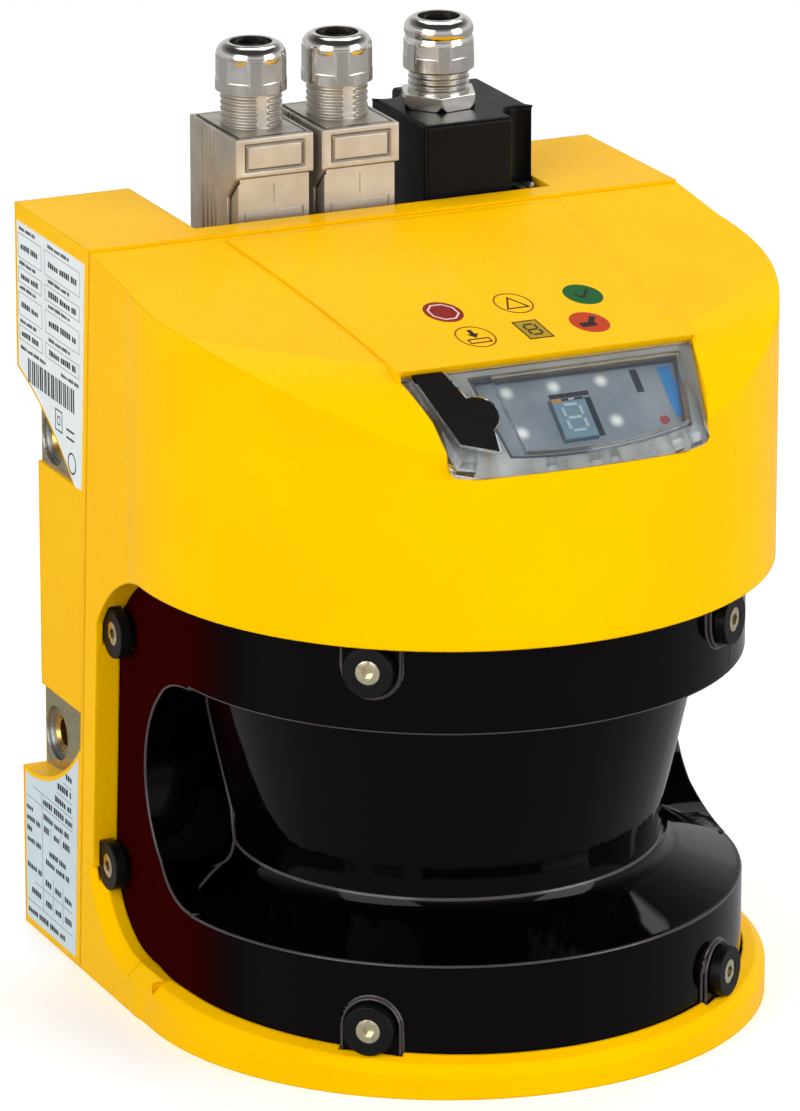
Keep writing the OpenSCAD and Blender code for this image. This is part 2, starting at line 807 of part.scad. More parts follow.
// ------------------------------------------------------------------- optics
frame_z = 118;
module optics_frame() {
    color("#9A9DA0") translate([0, axis_y, 0]) {
        difference() {
            translate([0, 0, frame_z]) cylinder(r = 67, h = 4);
            translate([0, 0, frame_z - 1]) cylinder(r = 26, h = 6);
            translate([-80, 47, frame_z - 1]) cube([160, 40, 6]);
        }
        // lens barrel and the bridge that carries the laser module
        difference() {
            translate([0, 0, 100]) cylinder(r = 29, h = frame_z + 2 - 100);
            translate([0, 0, 99]) cylinder(r = 26, h = 30);
        }
        difference() {
            union() {
                for (a = [0, 120, 240]) rotate([0, 0, a])
                    translate([-3, 0, frame_z + 4]) cube([6, 34, 3]);
                translate([0, 0, frame_z + 4]) cylinder(r = 9, h = 3);
                for (a = [0, 120, 240]) rotate([0, 0, a])
                    translate([-3, 28, frame_z + 3.9]) cube([6, 6, 0.2]);
            }
            translate([0, 0, frame_z]) rotate(45) cylinder(r = 6, h = 12);
        }
        for (a = [60, 180, 300]) rotate([0, 0, a]) translate([0, 30, frame_z + 3.9])
            cylinder(r = 3, h = 18.1, $fn = 32);
    }
}

module laser_module() {
    color("#B79A55") translate([0, axis_y, 0]) {
        translate([0, 0, frame_z - 4]) cylinder(r = 6, h = 24, $fn = 64);
        translate([0, 0, frame_z + 7]) cylinder(r = 8, h = 4, $fn = 64);
    }
}

module receiver_lens() {
    color("#BFD3DC", 0.5) translate([0, axis_y, 0]) difference() {
        intersection() {
            translate([0, 0, 102]) cylinder(r = 26, h = 8);
            translate([0, 0, 102 + 50]) sphere(r = 50, $fn = 120);
        }
        translate([0, 0, 98]) cylinder(r = 6.4, h = 20);
    }
}

module receiver_board() {
    color(green) translate([0, axis_y, frame_z + 22]) difference() {
        union() {
            cylinder(r = 34, h = 1.6);
            translate([-5, 14, 1.6]) cube([10, 8, 2.5]);
            translate([-20, -12, 1.6]) cube([8, 8, 1.8]);
            translate([-4, -4, -2]) cube([8, 8, 2.01]);
        }
        for (a = [60, 180, 300]) rotate([0, 0, a]) translate([0, 26, -1])
            cylinder(r = 1.5, h = 4, $fn = 24);
    }
}

// --------------------------------------------------------------- mirror drive
bearing_r = 6.5;
bearing_h = 4;
hub_r = 9;
bearing_z = [14, 31];
module motor_housing() {
    color("#55585C") translate([0, axis_y, 0]) difference() {
        union() {
            translate([0, 0, 5]) cylinder(r = 26, h = 3);
            translate([0, 0, 8]) cylinder(r = 22, h = 21);
            translate([0, 0, 29]) cylinder(r = hub_r, h = 6);
        }
        translate([0, 0, bearing_z[0]]) cylinder(r = bearing_r, h = 40);
    }
}

module motor_bearings() {
    color("#B4B6B8") translate([0, axis_y, 0]) for (z = bearing_z)
        translate([0, 0, z]) difference() {
            cylinder(r = bearing_r, h = bearing_h);
            translate([0, 0, -1]) cylinder(r = shaft_r + shaft_gap, h = bearing_h + 2);
        }
}

module motor_shaft() {
    color("#D0D2D4") translate([0, axis_y, 0]) {
        translate([0, 0, 14.4]) cylinder(r = shaft_r, h = 35.6);
        translate([0, 0, 18.4]) cylinder(r = 5.6, h = 12.2);
        translate([0, 0, 35.4]) cylinder(r = 4, h = 1.6);
    }
}

disc_z = 37;
disc_r = 30;
slits = 60;
module encoder_disc() {
    color("#3B3D40") translate([0, axis_y, disc_z]) difference() {
        cylinder(r = disc_r, h = 0.8);
        translate([0, 0, -1]) cylinder(r = shaft_r, h = 3);
        for (i = [0 : slits - 1]) rotate([0, 0, i * 360 / slits])
            translate([disc_r - 4, -0.5, -1]) cube([2.6, 1, 3]);
    }
}

module encoder_sensor() {
    color("#1C1D20") translate([0, axis_y, 0]) rotate([0, 0, 90]) difference() {
        translate([25.4, -5, 8]) cube([10, 10, 34]);
        translate([24, -6, disc_z - 1.4]) cube([8.2, 12, 3.6]);
        translate([24, -6, 10]) cube([6.5, 12, 22]);
    }
}

carrier_z = disc_z + 0.8;
carrier_top = 88;
module mirror_carrier() {
    color("#3A3C40") translate([0, axis_y, 0]) difference() {
        union() {
            translate([0, 0, carrier_z]) cylinder(r = 8, h = 6);
            translate([0, 0, carrier_z + 4]) cylinder(r = carrier_r, h = carrier_top);
        }
        // the mirror's face looks forward and up at 45 degrees
        translate([0, 0, mirror_mid_z]) rotate([45, 0, 0])
            translate([-100, -100, 0]) cube(200);
        translate([0, 0, carrier_z - 1]) cylinder(r = shaft_r, h = 50 - carrier_z + 1);
    }
}

mirror_mid_z = 66;
module scan_mirror() {
    color("#DDE4E8") translate([0, axis_y, 0]) difference() {
        intersection() {
            translate([0, 0, 20]) cylinder(r = carrier_r, h = 80);
            translate([0, 0, mirror_mid_z]) rotate([45, 0, 0])
                translate([-100, -100, 0]) cube([200, 200, 2.4]);
        }
    }
}

// ---------------------------------------------------------------- electronics
module main_board() {
    color(green) {
        translate([-58, 52, 16]) cube([116, 1.6, 120]);
        for (p = [[-30, 40, 22, 22], [10, 60, 16, 16], [-40, 95, 30, 12], [20, 100, 20, 20]])
            translate([p[0], 53.5, p[1]]) cube([p[2], 2.6, p[3]]);
        translate([-50, 46, 122]) cube([30, 6.1, 6]);
        translate([20, 46, 122]) cube([30, 6.1, 6]);
    }
}

module board_standoffs() {
    color(nickel) for (x = [-49, 49], z = [22, 130])
        translate([x, 74, z]) rotate([90, 0, 0]) cylinder(r = 2.8, h = 74 - 53.6, $fn = 6);
}

socket_x = [-25, -2.4];
plug_y = 55.65;
plug_w = 20.4;
plug_d = 28.3;
socket_system_x = 30.7;
system_y = 60.5;
module io_board() {
    color(green) {
        translate([-44, 44, recess_floor - 11.6]) cube([88, 28, 1.6]);
        translate([-40, 45, recess_floor - 14]) cube([12, 10, 2.5]);
    }
}

module bus_sockets() {
    color(black) {
        for (x = socket_x) difference() {
            translate([x - 8, plug_y - 11, recess_floor - 10]) cube([16, 22, 13]);
            translate([x - 6, plug_y - 9, recess_floor - 6]) cube([12, 18, 12]);
        }
        difference() {
            translate([socket_system_x - 12, system_y - 14, recess_floor - 10])
                cube([24, 28, 13]);
            translate([socket_system_x - 10, system_y - 12, recess_floor - 6])
                cube([20, 24, 12]);
        }
    }
}

// ----------------------------------------------------------------- bus plugs
sleeve_z = 195;
sleeve_wall = 1.1;
slide_gap = 0.3;
neck_top = 214.5;
thread_r = 7.5;
pitch = 1.5;

// Cast gland thread with a smooth flat facing the front.
module gland_thread(z0, z1, r) {
    turns = floor((z1 - z0) / pitch);
    difference() {
        union() {
            translate([0, 0, z0]) cylinder(r = r - 0.7, h = z1 - z0, $fn = 64);
            rotate_extrude($fn = 64) for (i = [0 : turns - 1])
                translate([0, z0 + 0.4 + i * pitch]) polygon([
                    [2, 0], [r - 0.75, 0], [r, 0.5], [r, 0.8], [r - 0.75, 1.2], [2, 1.2]]);
        }
    }
}

// Side view of the sleeve's long left cheek, with its diagonal front corner.
cheek_z = 166;
cheek_cut = 5.5;
module cheek_outline(grow = 0) {
    front = -plug_d / 2 - grow;
    polygon([[front, sleeve_z + 1], [front, sleeve_z - grow],
             [front + cheek_cut, sleeve_z - cheek_cut - grow],
             [front + cheek_cut, cheek_z - grow], [plug_d / 2 + grow, cheek_z - grow],
             [plug_d / 2 + grow, sleeve_z + 1]]);
}

module plug_body(x) {
    upper_w = plug_w - 2 * sleeve_wall - 2 * slide_gap;
    upper_d = plug_d - 2 * sleeve_wall - 2 * slide_gap;
    lower_w = plug_w - 1.9;
    lower_d = plug_d - 1.9;
    color(zinc) translate([x, plug_y, 0]) difference() {
        union() {
            translate([-lower_w / 2, -lower_d / 2, recess_floor + 5])
                cube([lower_w, lower_d, sleeve_z - slide_gap - recess_floor - 5]);
            translate([-5.7, -8.7, recess_floor - 6])
                cube([11.4, 17.4, 12]);
            translate([-upper_w / 2, -upper_d / 2, sleeve_z - 1])
                cube([upper_w, upper_d, plug_top - sleeve_z + 1]);
            difference() {
                gland_thread(plug_top - 0.2, neck_top, thread_r);
                translate([-1.6, -thread_r - 1, plug_top]) cube([3.2, 1.8, 20]);
            }
        }
        // cable passage
        translate([0, 0, plug_top - 25]) cylinder(r = 5.2, h = 60, $fn = 64);
        // room for the sleeve's cheek and for its upward travel
        translate([-plug_w / 2 - 1, 0, 0]) rotate([90, 0, 90])
            linear_extrude(1 + sleeve_wall + slide_gap) cheek_outline(slide_gap);
        // notch of the latch at the front edge, and a moulded line down the front
        translate([-2.6, -upper_d / 2 - 1, plug_top - 1.6]) cube([5.2, 1.9, 3]);
        translate([-0.2, -lower_d / 2 - 1, 188]) cube([0.4, 1.2, 5]);
        // ruled field low on the front
        translate([0, -lower_d / 2 + 0.25, 0]) rotate([90, 0, 0]) linear_extrude(1) difference() {
            translate([-7.8, 170]) square([15.6, 16.8]);
            translate([-7.3, 170.5]) square([14.6, 15.8]);
        }
    }
}

cheek_grooves = [-1.8, 0.4, 2.9, 5.6];
module plug_sleeve(x) {
    color(zinc) translate([x, plug_y, 0]) difference() {
        union() {
            difference() {
                translate([-plug_w / 2, -plug_d / 2, sleeve_z])
                    cube([plug_w, plug_d, plug_top - sleeve_z]);
                translate([-plug_w / 2 + sleeve_wall, -plug_d / 2 + sleeve_wall, sleeve_z - 1])
                    cube([plug_w - 2 * sleeve_wall, plug_d - 2 * sleeve_wall, 30]);
            }
            translate([-plug_w / 2, 0, 0]) rotate([90, 0, 90])
                linear_extrude(sleeve_wall) cheek_outline();
        }
        // engraved frame on the front face
        translate([0, -plug_d / 2 + 0.2, 0]) rotate([90, 0, 0]) linear_extrude(1) difference() {
            translate([-7.6, sleeve_z + 1.6]) square([15.2, 6.6]);
            translate([-7.2, sleeve_z + 2]) square([14.4, 5.8]);
        }
        for (y = cheek_grooves)
            translate([-plug_w / 2 - 0.5, y, cheek_z - 1]) cube([0.9, 0.5, 60]);
    }
}

// --------------------------------------------------------------------- glands
module gland_nut(x, y, z0, hex0, hex1, top) {
    r = nut_af / 2 + 0.2;
    color(nickel) translate([x, y, 0]) difference() {
        union() {
            intersection() {
                translate([0, 0, z0]) cylinder(r = r, h = hex1 - z0, $fn = 64);
                union() {
                    translate([0, 0, z0]) cylinder(r = r + 2, h = hex0 - z0);
                    translate([0, 0, hex0 - 0.1]) rotate([0, 0, 15])
                        cylinder(r = (nut_af - 0.6) / sqrt(3) , h = hex1 - hex0 + 0.2, $fn = 6);
                }
            }
            rotate_extrude($fn = 96) {
                polygon([[5, hex1 - 0.1], [r - 0.2, hex1 - 0.1], [r - 0.2, hex1 + 0.5],
                         [r - 2.4, top], [5, top]]);
                translate([r - 3.2, top - 3]) circle(r = 3, $fn = 48);
            }
        }
        translate([0, 0, z0 - 1]) cylinder(r = thread_r, h = neck_top - z0 + 1, $fn = 64);
        translate([0, 0, z0 - 1]) cylinder(r = 5.2, h = 40, $fn = 64);
    }
}

module gland_seal(x, y, z0, z1) {
    color("#3A3B3E") translate([x, y, 0]) difference() {
        translate([0, 0, z0]) cylinder(r = 5.2, h = z1 - z0, $fn = 64);
        translate([0, 0, z0 - 1]) cylinder(r = 3.4, h = z1 - z0 + 2, $fn = 64);
    }
}

nut_top = 225;
module left_plug_body() { plug_body(socket_x[0]); }
module right_plug_body() { plug_body(socket_x[1]); }
module left_plug_sleeve() { plug_sleeve(socket_x[0]); }
module right_plug_sleeve() { plug_sleeve(socket_x[1]); }
module left_gland_nut() { gland_nut(socket_x[0], plug_y, 213.5, 216.1, 221.8, nut_top); }
module right_gland_nut() { gland_nut(socket_x[1], plug_y, 213.5, 216.1, 221.8, nut_top); }
module left_gland_seal() { gland_seal(socket_x[0], plug_y, 208, 222.5); }
module right_gland_seal() { gland_seal(socket_x[1], plug_y, 208, 222.5); }

// --------------------------------------------------------------- system plug
cover_x0 = 14.4;
cover_x1 = 46.6;
cover_y0 = 41;
cover_y1 = 80;
notch = 9;
flange_z = 179;
gland_x = 26.7;
gland_y = 60;

module cover_outline() {
    difference() {
        translate([cover_x0, cover_y0]) square([cover_x1 - cover_x0, cover_y1 - cover_y0]);
        // bays for the two fixing screws
        translate([cover_x1 - notch / 2 + 0.6, cover_y0 + notch / 2]) circle(r = notch / 2 + 0.2, $fn = 48);
        translate([cover_x1 - notch / 2, cover_y0 - 1]) square([notch, notch / 2 + 1.5]);
        translate([cover_x1 - notch + 0.4, cover_y0 - 1]) square([notch, notch / 2 + 1.5]);
        translate([cover_x0 + notch / 2 - 0.6, cover_y1 - notch / 2]) circle(r = notch / 2 + 0.2, $fn = 48);
        translate([cover_x0 - 1, cover_y1 - notch / 2 - 0.2]) square([notch + 0.6, notch]);
    }
}

module system_plug_cover() {
    color(black) difference() {
        union() {
            translate([0, 0, flange_z + 3]) linear_extrude(cover_top - flange_z - 3) cover_outline();
            translate([cover_x0, cover_y0, flange_z]) cube([cover_x1 - cover_x0, cover_y1 - cover_y0, 3.5]);
        }
        translate([cover_x0 + 2, cover_y0 + 10, flange_z - 1])
            cube([cover_x1 - cover_x0 - 4, cover_y1 - cover_y0 - 20, cover_top - flange_z - 1.5]);
        translate([gland_x, gland_y, cover_top - 5]) cylinder(r = thread_r, h = 10, $fn = 64);
        for (p = cover_screws)
            translate([p.x, p.y, flange_z - 1]) cylinder(r = 1.7, h = 8, $fn = 32);
    }
}

cover_screws = [[cover_x1 - 4, cover_y0 + 4.2], [cover_x0 + 4, cover_y1 - 4.2]];
module system_plug_insert() {
    color("#202024") difference() {
        union() {
            translate([cover_x0, cover_y0, recess_floor + 5])
                cube([cover_x1 - cover_x0, cover_y1 - cover_y0, flange_z - recess_floor - 5]);
            translate([socket_system_x - 9.7, system_y - 11.7, recess_floor - 6])
                cube([19.4, 23.4, 12]);
        }
        for (p = cover_screws)
            translate([p.x, p.y, flange_z - 8]) cylinder(r = 1.5, h = 10, $fn = 32);
        translate([cover_x0 + 4, cover_y0 + 12, flange_z - 14])
            cube([cover_x1 - cover_x0 - 8, cover_y1 - cover_y0 - 24, 20]);
    }
}

module system_plug_screws() {
    color(nickel) for (p = cover_screws) translate([p.x, p.y, 0]) difference() {
        union() {
            translate([0, 0, flange_z - 7]) cylinder(r = 1.5, h = 11, $fn = 32);
            translate([0, 0, flange_z + 3.5]) cylinder(r = 2.7, h = 2, $fn = 48);
        }
        translate([-0.4, -3, flange_z + 4.7]) cube([0.8, 6, 3]);
    }
}

lock_top = cover_top + 3.7;
module system_gland_body() {
    color(nickel) translate([gland_x, gland_y, 0]) difference() {
        union() {
            translate([0, 0, cover_top - 1.5]) cylinder(r = thread_r, h = 6, $fn = 64);
            gland_thread(lock_top - 0.5, neck_top, thread_r);
        }
        translate([0, 0, cover_top - 8]) cylinder(r = 5.2, h = 40, $fn = 64);
    }
}

module system_lock_nut() {
    color(nickel) translate([gland_x, gland_y, cover_top]) difference() {
        intersection() {
            rotate([0, 0, 10]) cylinder(r = 17.2 / sqrt(3), h = 3.7, $fn = 6);
            cylinder(r1 = 9.2, r2 = 11, h = 3.7);
        }
        translate([0, 0, -1]) cylinder(r = thread_r, h = 8, $fn = 64);
    }
}

module system_gland_nut() { gland_nut(gland_x, gland_y, 212.5, 215.8, 219, nut_top); }
module system_gland_seal() { gland_seal(gland_x, gland_y, 208, 222); }

front_housing();
rear_housing();
housing_gasket();
housing_screws();
thread_inserts();
upper_label();
lower_label();
front_screen();
screen_seal();
screen_bushes();
screen_screws();
display_window();
window_gasket();
light_tray();
display_board();
status_leds();
digit_display();
config_socket();
port_cap();
optics_frame();
laser_module();
receiver_lens();
receiver_board();
motor_housing();
motor_bearings();
motor_shaft();
encoder_disc();
encoder_sensor();
mirror_carrier();
scan_mirror();
main_board();
board_standoffs();
io_board();
bus_sockets();
left_plug_body();
left_plug_sleeve();
left_gland_nut();
left_gland_seal();
right_plug_body();
right_plug_sleeve();
right_gland_nut();
right_gland_seal();
system_plug_cover();
system_plug_insert();
system_plug_screws();
system_gland_body();
system_lock_nut();
system_gland_nut();
system_gland_seal();
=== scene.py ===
import math

import bmesh
import bpy
from mathutils import Matrix, Vector


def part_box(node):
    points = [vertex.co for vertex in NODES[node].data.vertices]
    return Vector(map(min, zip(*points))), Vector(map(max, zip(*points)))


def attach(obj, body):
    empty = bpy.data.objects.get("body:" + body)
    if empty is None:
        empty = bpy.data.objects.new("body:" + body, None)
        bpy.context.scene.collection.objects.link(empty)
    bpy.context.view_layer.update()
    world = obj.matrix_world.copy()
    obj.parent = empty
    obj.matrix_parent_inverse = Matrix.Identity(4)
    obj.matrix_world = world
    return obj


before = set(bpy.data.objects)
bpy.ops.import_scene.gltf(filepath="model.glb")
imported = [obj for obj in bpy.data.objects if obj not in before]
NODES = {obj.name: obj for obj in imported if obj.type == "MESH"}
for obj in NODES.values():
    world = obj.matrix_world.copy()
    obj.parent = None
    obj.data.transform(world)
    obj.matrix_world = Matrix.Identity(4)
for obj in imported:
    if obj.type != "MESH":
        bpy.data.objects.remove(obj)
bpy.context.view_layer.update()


MM = 0.001

# ------------------------------------------------------ sizes and places, in mm
# the sloping panel on top of the front housing
PANEL_TILT = math.radians(7.1)
PANEL_TOP_Y = 31.35
PANEL_TOP_Z = 185

# the window under it: its upper edge, its slope and how far it is sunk
WINDOW_Y = -57.2
WINDOW_TILT = math.radians(39)
WINDOW_SINK = 0.6
TRAY_RIM = -5.8                       # the tray is dark above this height
DIGIT_TOP = -5.12                     # and the display block lit above this one
LAMP_SPOTS = ((-10.6, -5.1), (1.4, -5.1), (13.5, -5.1), (-10.7, -16.5), (13.4, -16.4))
LAMP_DEPTH = -6.3
LAMP_GLOW = (0.1, 2.4)                # the glow fades between these radii

# the milled pads of the rear housing: distance from the middle plane, then y, then z
PAD_X = (63.2, 70.85)
PAD_Y = (45.9, 79.7)
PAD_LOW_Z = (-1, 61.7)
PAD_HIGH_Z = (118.8, 160)

# where the screen turns from black to red, and how far out its side walls stand; the red is the
# plastic's dark red tint with a painted glow of light shining through the outward walls
RED_TINT_AND_GLOW_Y = (-34, -4)
RED_TINT_AND_GLOW_WALL_X = (52, 70.5)

# outer face of the side labels, which narrows towards the back
LABEL_X = -78.15
LABEL_Y = -2.5
LABEL_TAPER = math.radians(0.694)

# the plug sleeves: their rim with the slide's gap, the dark line of painted shade inside it, and
# the latch notch, filled with a dark plate of painted shade
SLEEVE_RIM = 1.4
GAP_SHADE_LINE = 0.3
LINE_HALF = 0.02
NOTCH_HALF = 2.5
NOTCH_Y = (0.02, 0.85)
NOTCH_Z = (-1.62, -1.1)

# edge rounding of the parts that show
ROUNDS = {
    "front_screen": 0.45, "screen_bushes": 0.3, "system_plug_cover": 1.1,
    "left_plug_body": 0.3, "right_plug_body": 0.3, "left_plug_sleeve": 0.45,
    "right_plug_sleeve": 0.45, "left_gland_nut": 0.15, "right_gland_nut": 0.15,
    "system_gland_nut": 0.15, "system_lock_nut": 0.15, "port_cap": 0.3, "screen_screws": 0.1,
}
ROUND_ANGLE = math.radians(32)        # edges sharper than this are rounded
ROUND_STEPS = 3
FLAT_WEIGHT = 60                      # how strongly large faces keep their flat shading
HOUSING_ROUND = 0.8                   # the painted housings are rounded in their shader

# Parts whose flat faces are joined first, so that the rounding keeps its full width.
FREE = {
    "front_screen", "screen_bushes", "system_plug_cover", "left_plug_sleeve",
    "right_plug_sleeve",
}
FLAT_ANGLE = math.radians(0.4)
FREE_WELD = 0.06
WELD = 0.002


def panel_z(y):
    return PANEL_TOP_Z - (PANEL_TOP_Y - y) * math.tan(PANEL_TILT)


def panel_frame(x, y):
    """Matrix of a point on the panel: local X right, Y up the slope, Z out."""
    place = Matrix.Translation(Vector((x, y, panel_z(y))) * MM)
    return place @ Matrix.Rotation(PANEL_TILT, 4, "X")


# Each of these has local X and Y along the face and Z out of it.
WINDOW_CORNER = Vector((0, WINDOW_Y, panel_z(WINDOW_Y) - WINDOW_SINK))
WINDOW_FRAME = Matrix.Translation(WINDOW_CORNER * MM) @ Matrix.Rotation(WINDOW_TILT, 4, "X")
LEFT_SIDE = Matrix(((0, 0, -1, 0), (-1, 0, 0, 0), (0, 1, 0, 0), (0, 0, 0, 1)))
LABEL_FRAME = (Matrix.Translation(Vector((LABEL_X, LABEL_Y, 0)) * MM)
               @ Matrix.Rotation(-LABEL_TAPER, 4, "Z") @ LEFT_SIDE)


# ------------------------------------------------------------------ shader nodes
def srgb(code):
    """Linear colour of a hex code."""
    out = []
    for i in (0, 2, 4):
        c = int(code[i:i + 2], 16) / 255
        out.append(c / 12.92 if c <= 0.04045 else ((c + 0.055) / 1.055) ** 2.4)
    return (*out, 1.0)


def grey(level):
    return (level, level, level, 1.0)


class Nodes:
    """Shortcuts for the shader nodes of a material or world."""

    def __init__(self, owner, coordinate):
        owner.use_nodes = True
        self.tree = owner.node_tree
        self.place = self.node("TexCoord").outputs[coordinate]

    def node(self, kind, **props):
        n = self.tree.nodes.new("ShaderNode" + kind)
        for key, value in props.items():
            setattr(n, key, value)
        return n

    def feed(self, socket, value):
        """Set a socket, or link the output of another node to it."""
        if isinstance(value, bpy.types.NodeSocket):
            self.tree.links.new(value, socket)
        else:
            socket.default_value = value

    def out(self, kind, result, inputs, **props):
        """Make a node, feed its inputs and return one of its outputs."""
        n = self.node(kind, **props)
        for key, value in inputs.items():
            self.feed(n.inputs[key], value)
        return n.outputs[result]

    def noise(self, scale, detail=3.0, stretch=None, rough=0.5):
        place = self.place
        if stretch:
            place = self.out("Mapping", "Vector", {"Vector": place, "Scale": stretch})
        return self.out("TexNoise", "Fac", {
            "Vector": place, "Scale": scale, "Detail": detail, "Roughness": rough})

    def ramp(self, factor, stops):
        """A colour ramp through (position, colour) stops."""
        n = self.node("ValToRGB")
        elements = n.color_ramp.elements
        while len(elements) < len(stops):
            elements.new(0.5)
        for element, (position, colour) in zip(elements, stops):
            element.position = position
            element.color = colour
        self.feed(n.inputs["Fac"], factor)
        return n.outputs["Color"]

    def patches(self, noise, dark, light, edge=0.3):
        """Soft patches of two colours, given as hex codes."""
        return self.ramp(noise, [(edge, srgb(dark)), (1 - edge, srgb(light))])

    def mix(self, factor, a, b):
        """Colour a, turning into colour b as the factor rises."""
        n = self.node("Mix", data_type="RGBA")
        for identifier, value in (("Factor_Float", factor), ("A_Color", a), ("B_Color", b)):
            self.feed(next(s for s in n.inputs if s.identifier == identifier), value)
        return next(s for s in n.outputs if s.identifier == "Result_Color")

    def maths(self, operation, *values):
        return self.out("Math", "Value", dict(enumerate(values)), operation=operation)

    def product(self, first, *others):
        for factor in others:
            first = self.maths("MULTIPLY", first, factor)
        return first

    def to_point(self, operation, point):
        """Distance from the place to a point, or dot product of the two."""
        return self.out("VectorMath", "Value", {0: self.place, 1: point}, operation=operation)

    def span(self, value, low, high, start=0.0, end=1.0, kind="LINEAR"):
        """Goes from low to high while the value goes from start to end."""
        return self.out("MapRange", "Result", {
            "Value": value, "From Min": start, "From Max": end, "To Min": low, "To Max": high,
        }, interpolation_type=kind)

    def fade(self, value, start, end, low=0.0, high=1.0):
        """The same as a soft step, with start and end in mm."""
        return self.span(value, low, high, start * MM, end * MM, "SMOOTHSTEP")

    def within(self, value, low, high):
        """One between two places in mm, and zero outside them."""
        return self.product(self.maths("GREATER_THAN", value, low * MM),
                            self.maths("LESS_THAN", value, high * MM))

    def axis(self, which, vector=None):
        """X, Y or Z of the place, or of another vector."""
        return self.out("SeparateXYZ", which, {"Vector": vector or self.place})


class Mat(Nodes):
    """A Principled material."""

    def __init__(self, name, rough, metal=0.0, **sockets):
        self.material = bpy.data.materials.new(name)
        super().__init__(self.material, "Object")
        self.shader = self.tree.nodes["Principled BSDF"]
        self.corner = None
        self.set(Roughness=rough, Metallic=metal, **sockets)

    def set(self, **sockets):
        """Feed the shader's sockets, with _ for a space in their names."""
        for name, value in sockets.items():
            self.feed(self.shader.inputs[name.replace("_", " ")], value)

    def soften(self, radius):
        """Rounded look of the sharp edges, radius in mm, under the bump."""
        self.corner = self.out("Bevel", "Normal", {"Radius": radius * MM}, samples=4)

    def bump(self, *layers):
        """Each layer is (height socket, strength, distance in mm)."""
        normal = self.corner
        for height, strength, distance in layers:
            inputs = {"Height": height, "Strength": strength, "Distance": distance * MM}
            if normal:
                inputs["Normal"] = normal
            normal = self.out("Bump", "Normal", inputs)
        self.set(Normal=normal)


# --------------------------------------------------------------------- materials
def surface(name, dark, light, rough, spread, metal, patch, grain, bump, depth,
            specular=0.5, stretch=None):
    """Two close colours in soft patches, a fine grain and a varied roughness."""
    m = Mat(name, rough, metal, Specular_IOR_Level=specular)
    shine = m.span(m.noise(patch * 2.3, 5), max(0.02, rough - spread), rough + spread)
    m.set(Base_Color=m.patches(m.noise(patch, 4), dark, light), Roughness=shine)
    m.bump((m.noise(grain, 2, stretch), bump, depth))
    return m.material


# Plain finishes: two colours, roughness and its spread, metalness, the scales of the patches
# and the grain, the grain's strength and its depth in mm, and where it matters the specular
# level and the stretch of the grain.
FINISHES = {
    "black_moulded": ("080707", "0D0C0D", 0.42, 0.07, 0.0, 90, 1500, 0.3, 0.05, 0.16),
    "black_rubber": ("0E0A0A", "140F10", 0.55, 0.06, 0.0, 70, 1200, 0.25, 0.05, 0.1),
    "cover_satin_black": ("090809", "0E0D0E", 0.36, 0.06, 0.0, 60, 1700, 0.35, 0.06, 0.08),
    # painted highlight: the grey for the rounded edges of the gloss black screen
    "screen_edge_painted_highlight": ("423B3F", "4A4347", 0.2, 0.04, 0.0, 90, 600, 0.04, 0.03, 0.3),
    "nickel_bright": ("C9C5BF", "D8D4CE", 0.16, 0.04, 1.0, 120, 700, 0.05, 0.05),
    "zinc_nickel_matt": ("ADA79E", "BFBAB0", 0.42, 0.07, 0.8, 140, 1100, 0.22, 0.06),
    "steel_turned": ("B9B7B2", "D2D0CC", 0.26, 0.07, 1.0, 150, 900, 0.15, 0.04, 0.5, (1, 1, 6)),
    "zinc_passivated": ("C9BB98", "E2D8BC", 0.25, 0.08, 1.0, 300, 1400, 0.12, 0.03),
    "brass_turned": ("B08B4A", "C9A763", 0.3, 0.08, 1.0, 200, 900, 0.15, 0.04),
    "aluminium_cast": ("8F9397", "A6A9AC", 0.4, 0.08, 1.0, 120, 800, 0.2, 0.05),
    "mirror_coat": ("E6EAEC", "EEF1F2", 0.03, 0.01, 1.0, 30, 300, 0.01, 0.02),
    "circuit_board": ("1E5B34", "2A7042", 0.45, 0.06, 0.0, 200, 600, 0.1, 0.04),
    "label_film_upper": ("E6EDEE", "EDF3F4", 0.4, 0.05, 0.0, 50, 1600, 0.08, 0.03),
    "label_film_lower": ("CDDDE4", "D6E4EA", 0.4, 0.05, 0.0, 50, 1600, 0.08, 0.03),
    "gasket_grey": ("B9BBB7", "C6C8C4", 0.5, 0.06, 0.0, 120, 900, 0.15, 0.05),
    "led_dome": ("F4F3EC", "FBFAF5", 0.35, 0.05, 0.0, 300, 900, 0.05, 0.03),
}


def finish(name):
    return surface(name, *FINISHES[name])


def ink(name, colour, rough=0.35):
    """One flat colour of print."""
    return surface(name, colour, colour, rough, 0.04, 0.0, 80, 900, 0.06, 0.03, 0.06)


def yellow_paint(name, faced):
    """Powder coat with orange peel in two sizes, and bare milled metal on the faced pads."""
    m = Mat(name, 0.3, Specular_IOR_Level=0.04, Specular_Tint=(1.0, 0.7, 0.02, 1.0))
    paint = m.patches(m.noise(26, 4), "FFBE00", "FFC400")
    m.set(Base_Color=paint, Roughness=m.span(m.noise(140, 4), 0.24, 0.36))
    m.soften(HOUSING_ROUND)
    m.bump((m.noise(520, 2), 0.4, 0.3), (m.noise(1900, 2), 0.14, 0.06))
    if faced:
        z = m.axis("Z")
        pads = m.product(m.within(m.maths("ABSOLUTE", m.axis("X")), *PAD_X),
                         m.within(m.axis("Y"), *PAD_Y),
                         m.maths("ADD", m.within(z, *PAD_LOW_Z), m.within(z, *PAD_HIGH_Z)))
        cuts = m.patches(m.noise(420, 3, (1, 1, 9)), "98A1AB", "C4CBD2")
        m.set(Base_Color=m.mix(pads, paint, cuts), Metallic=pads)
    return m.material


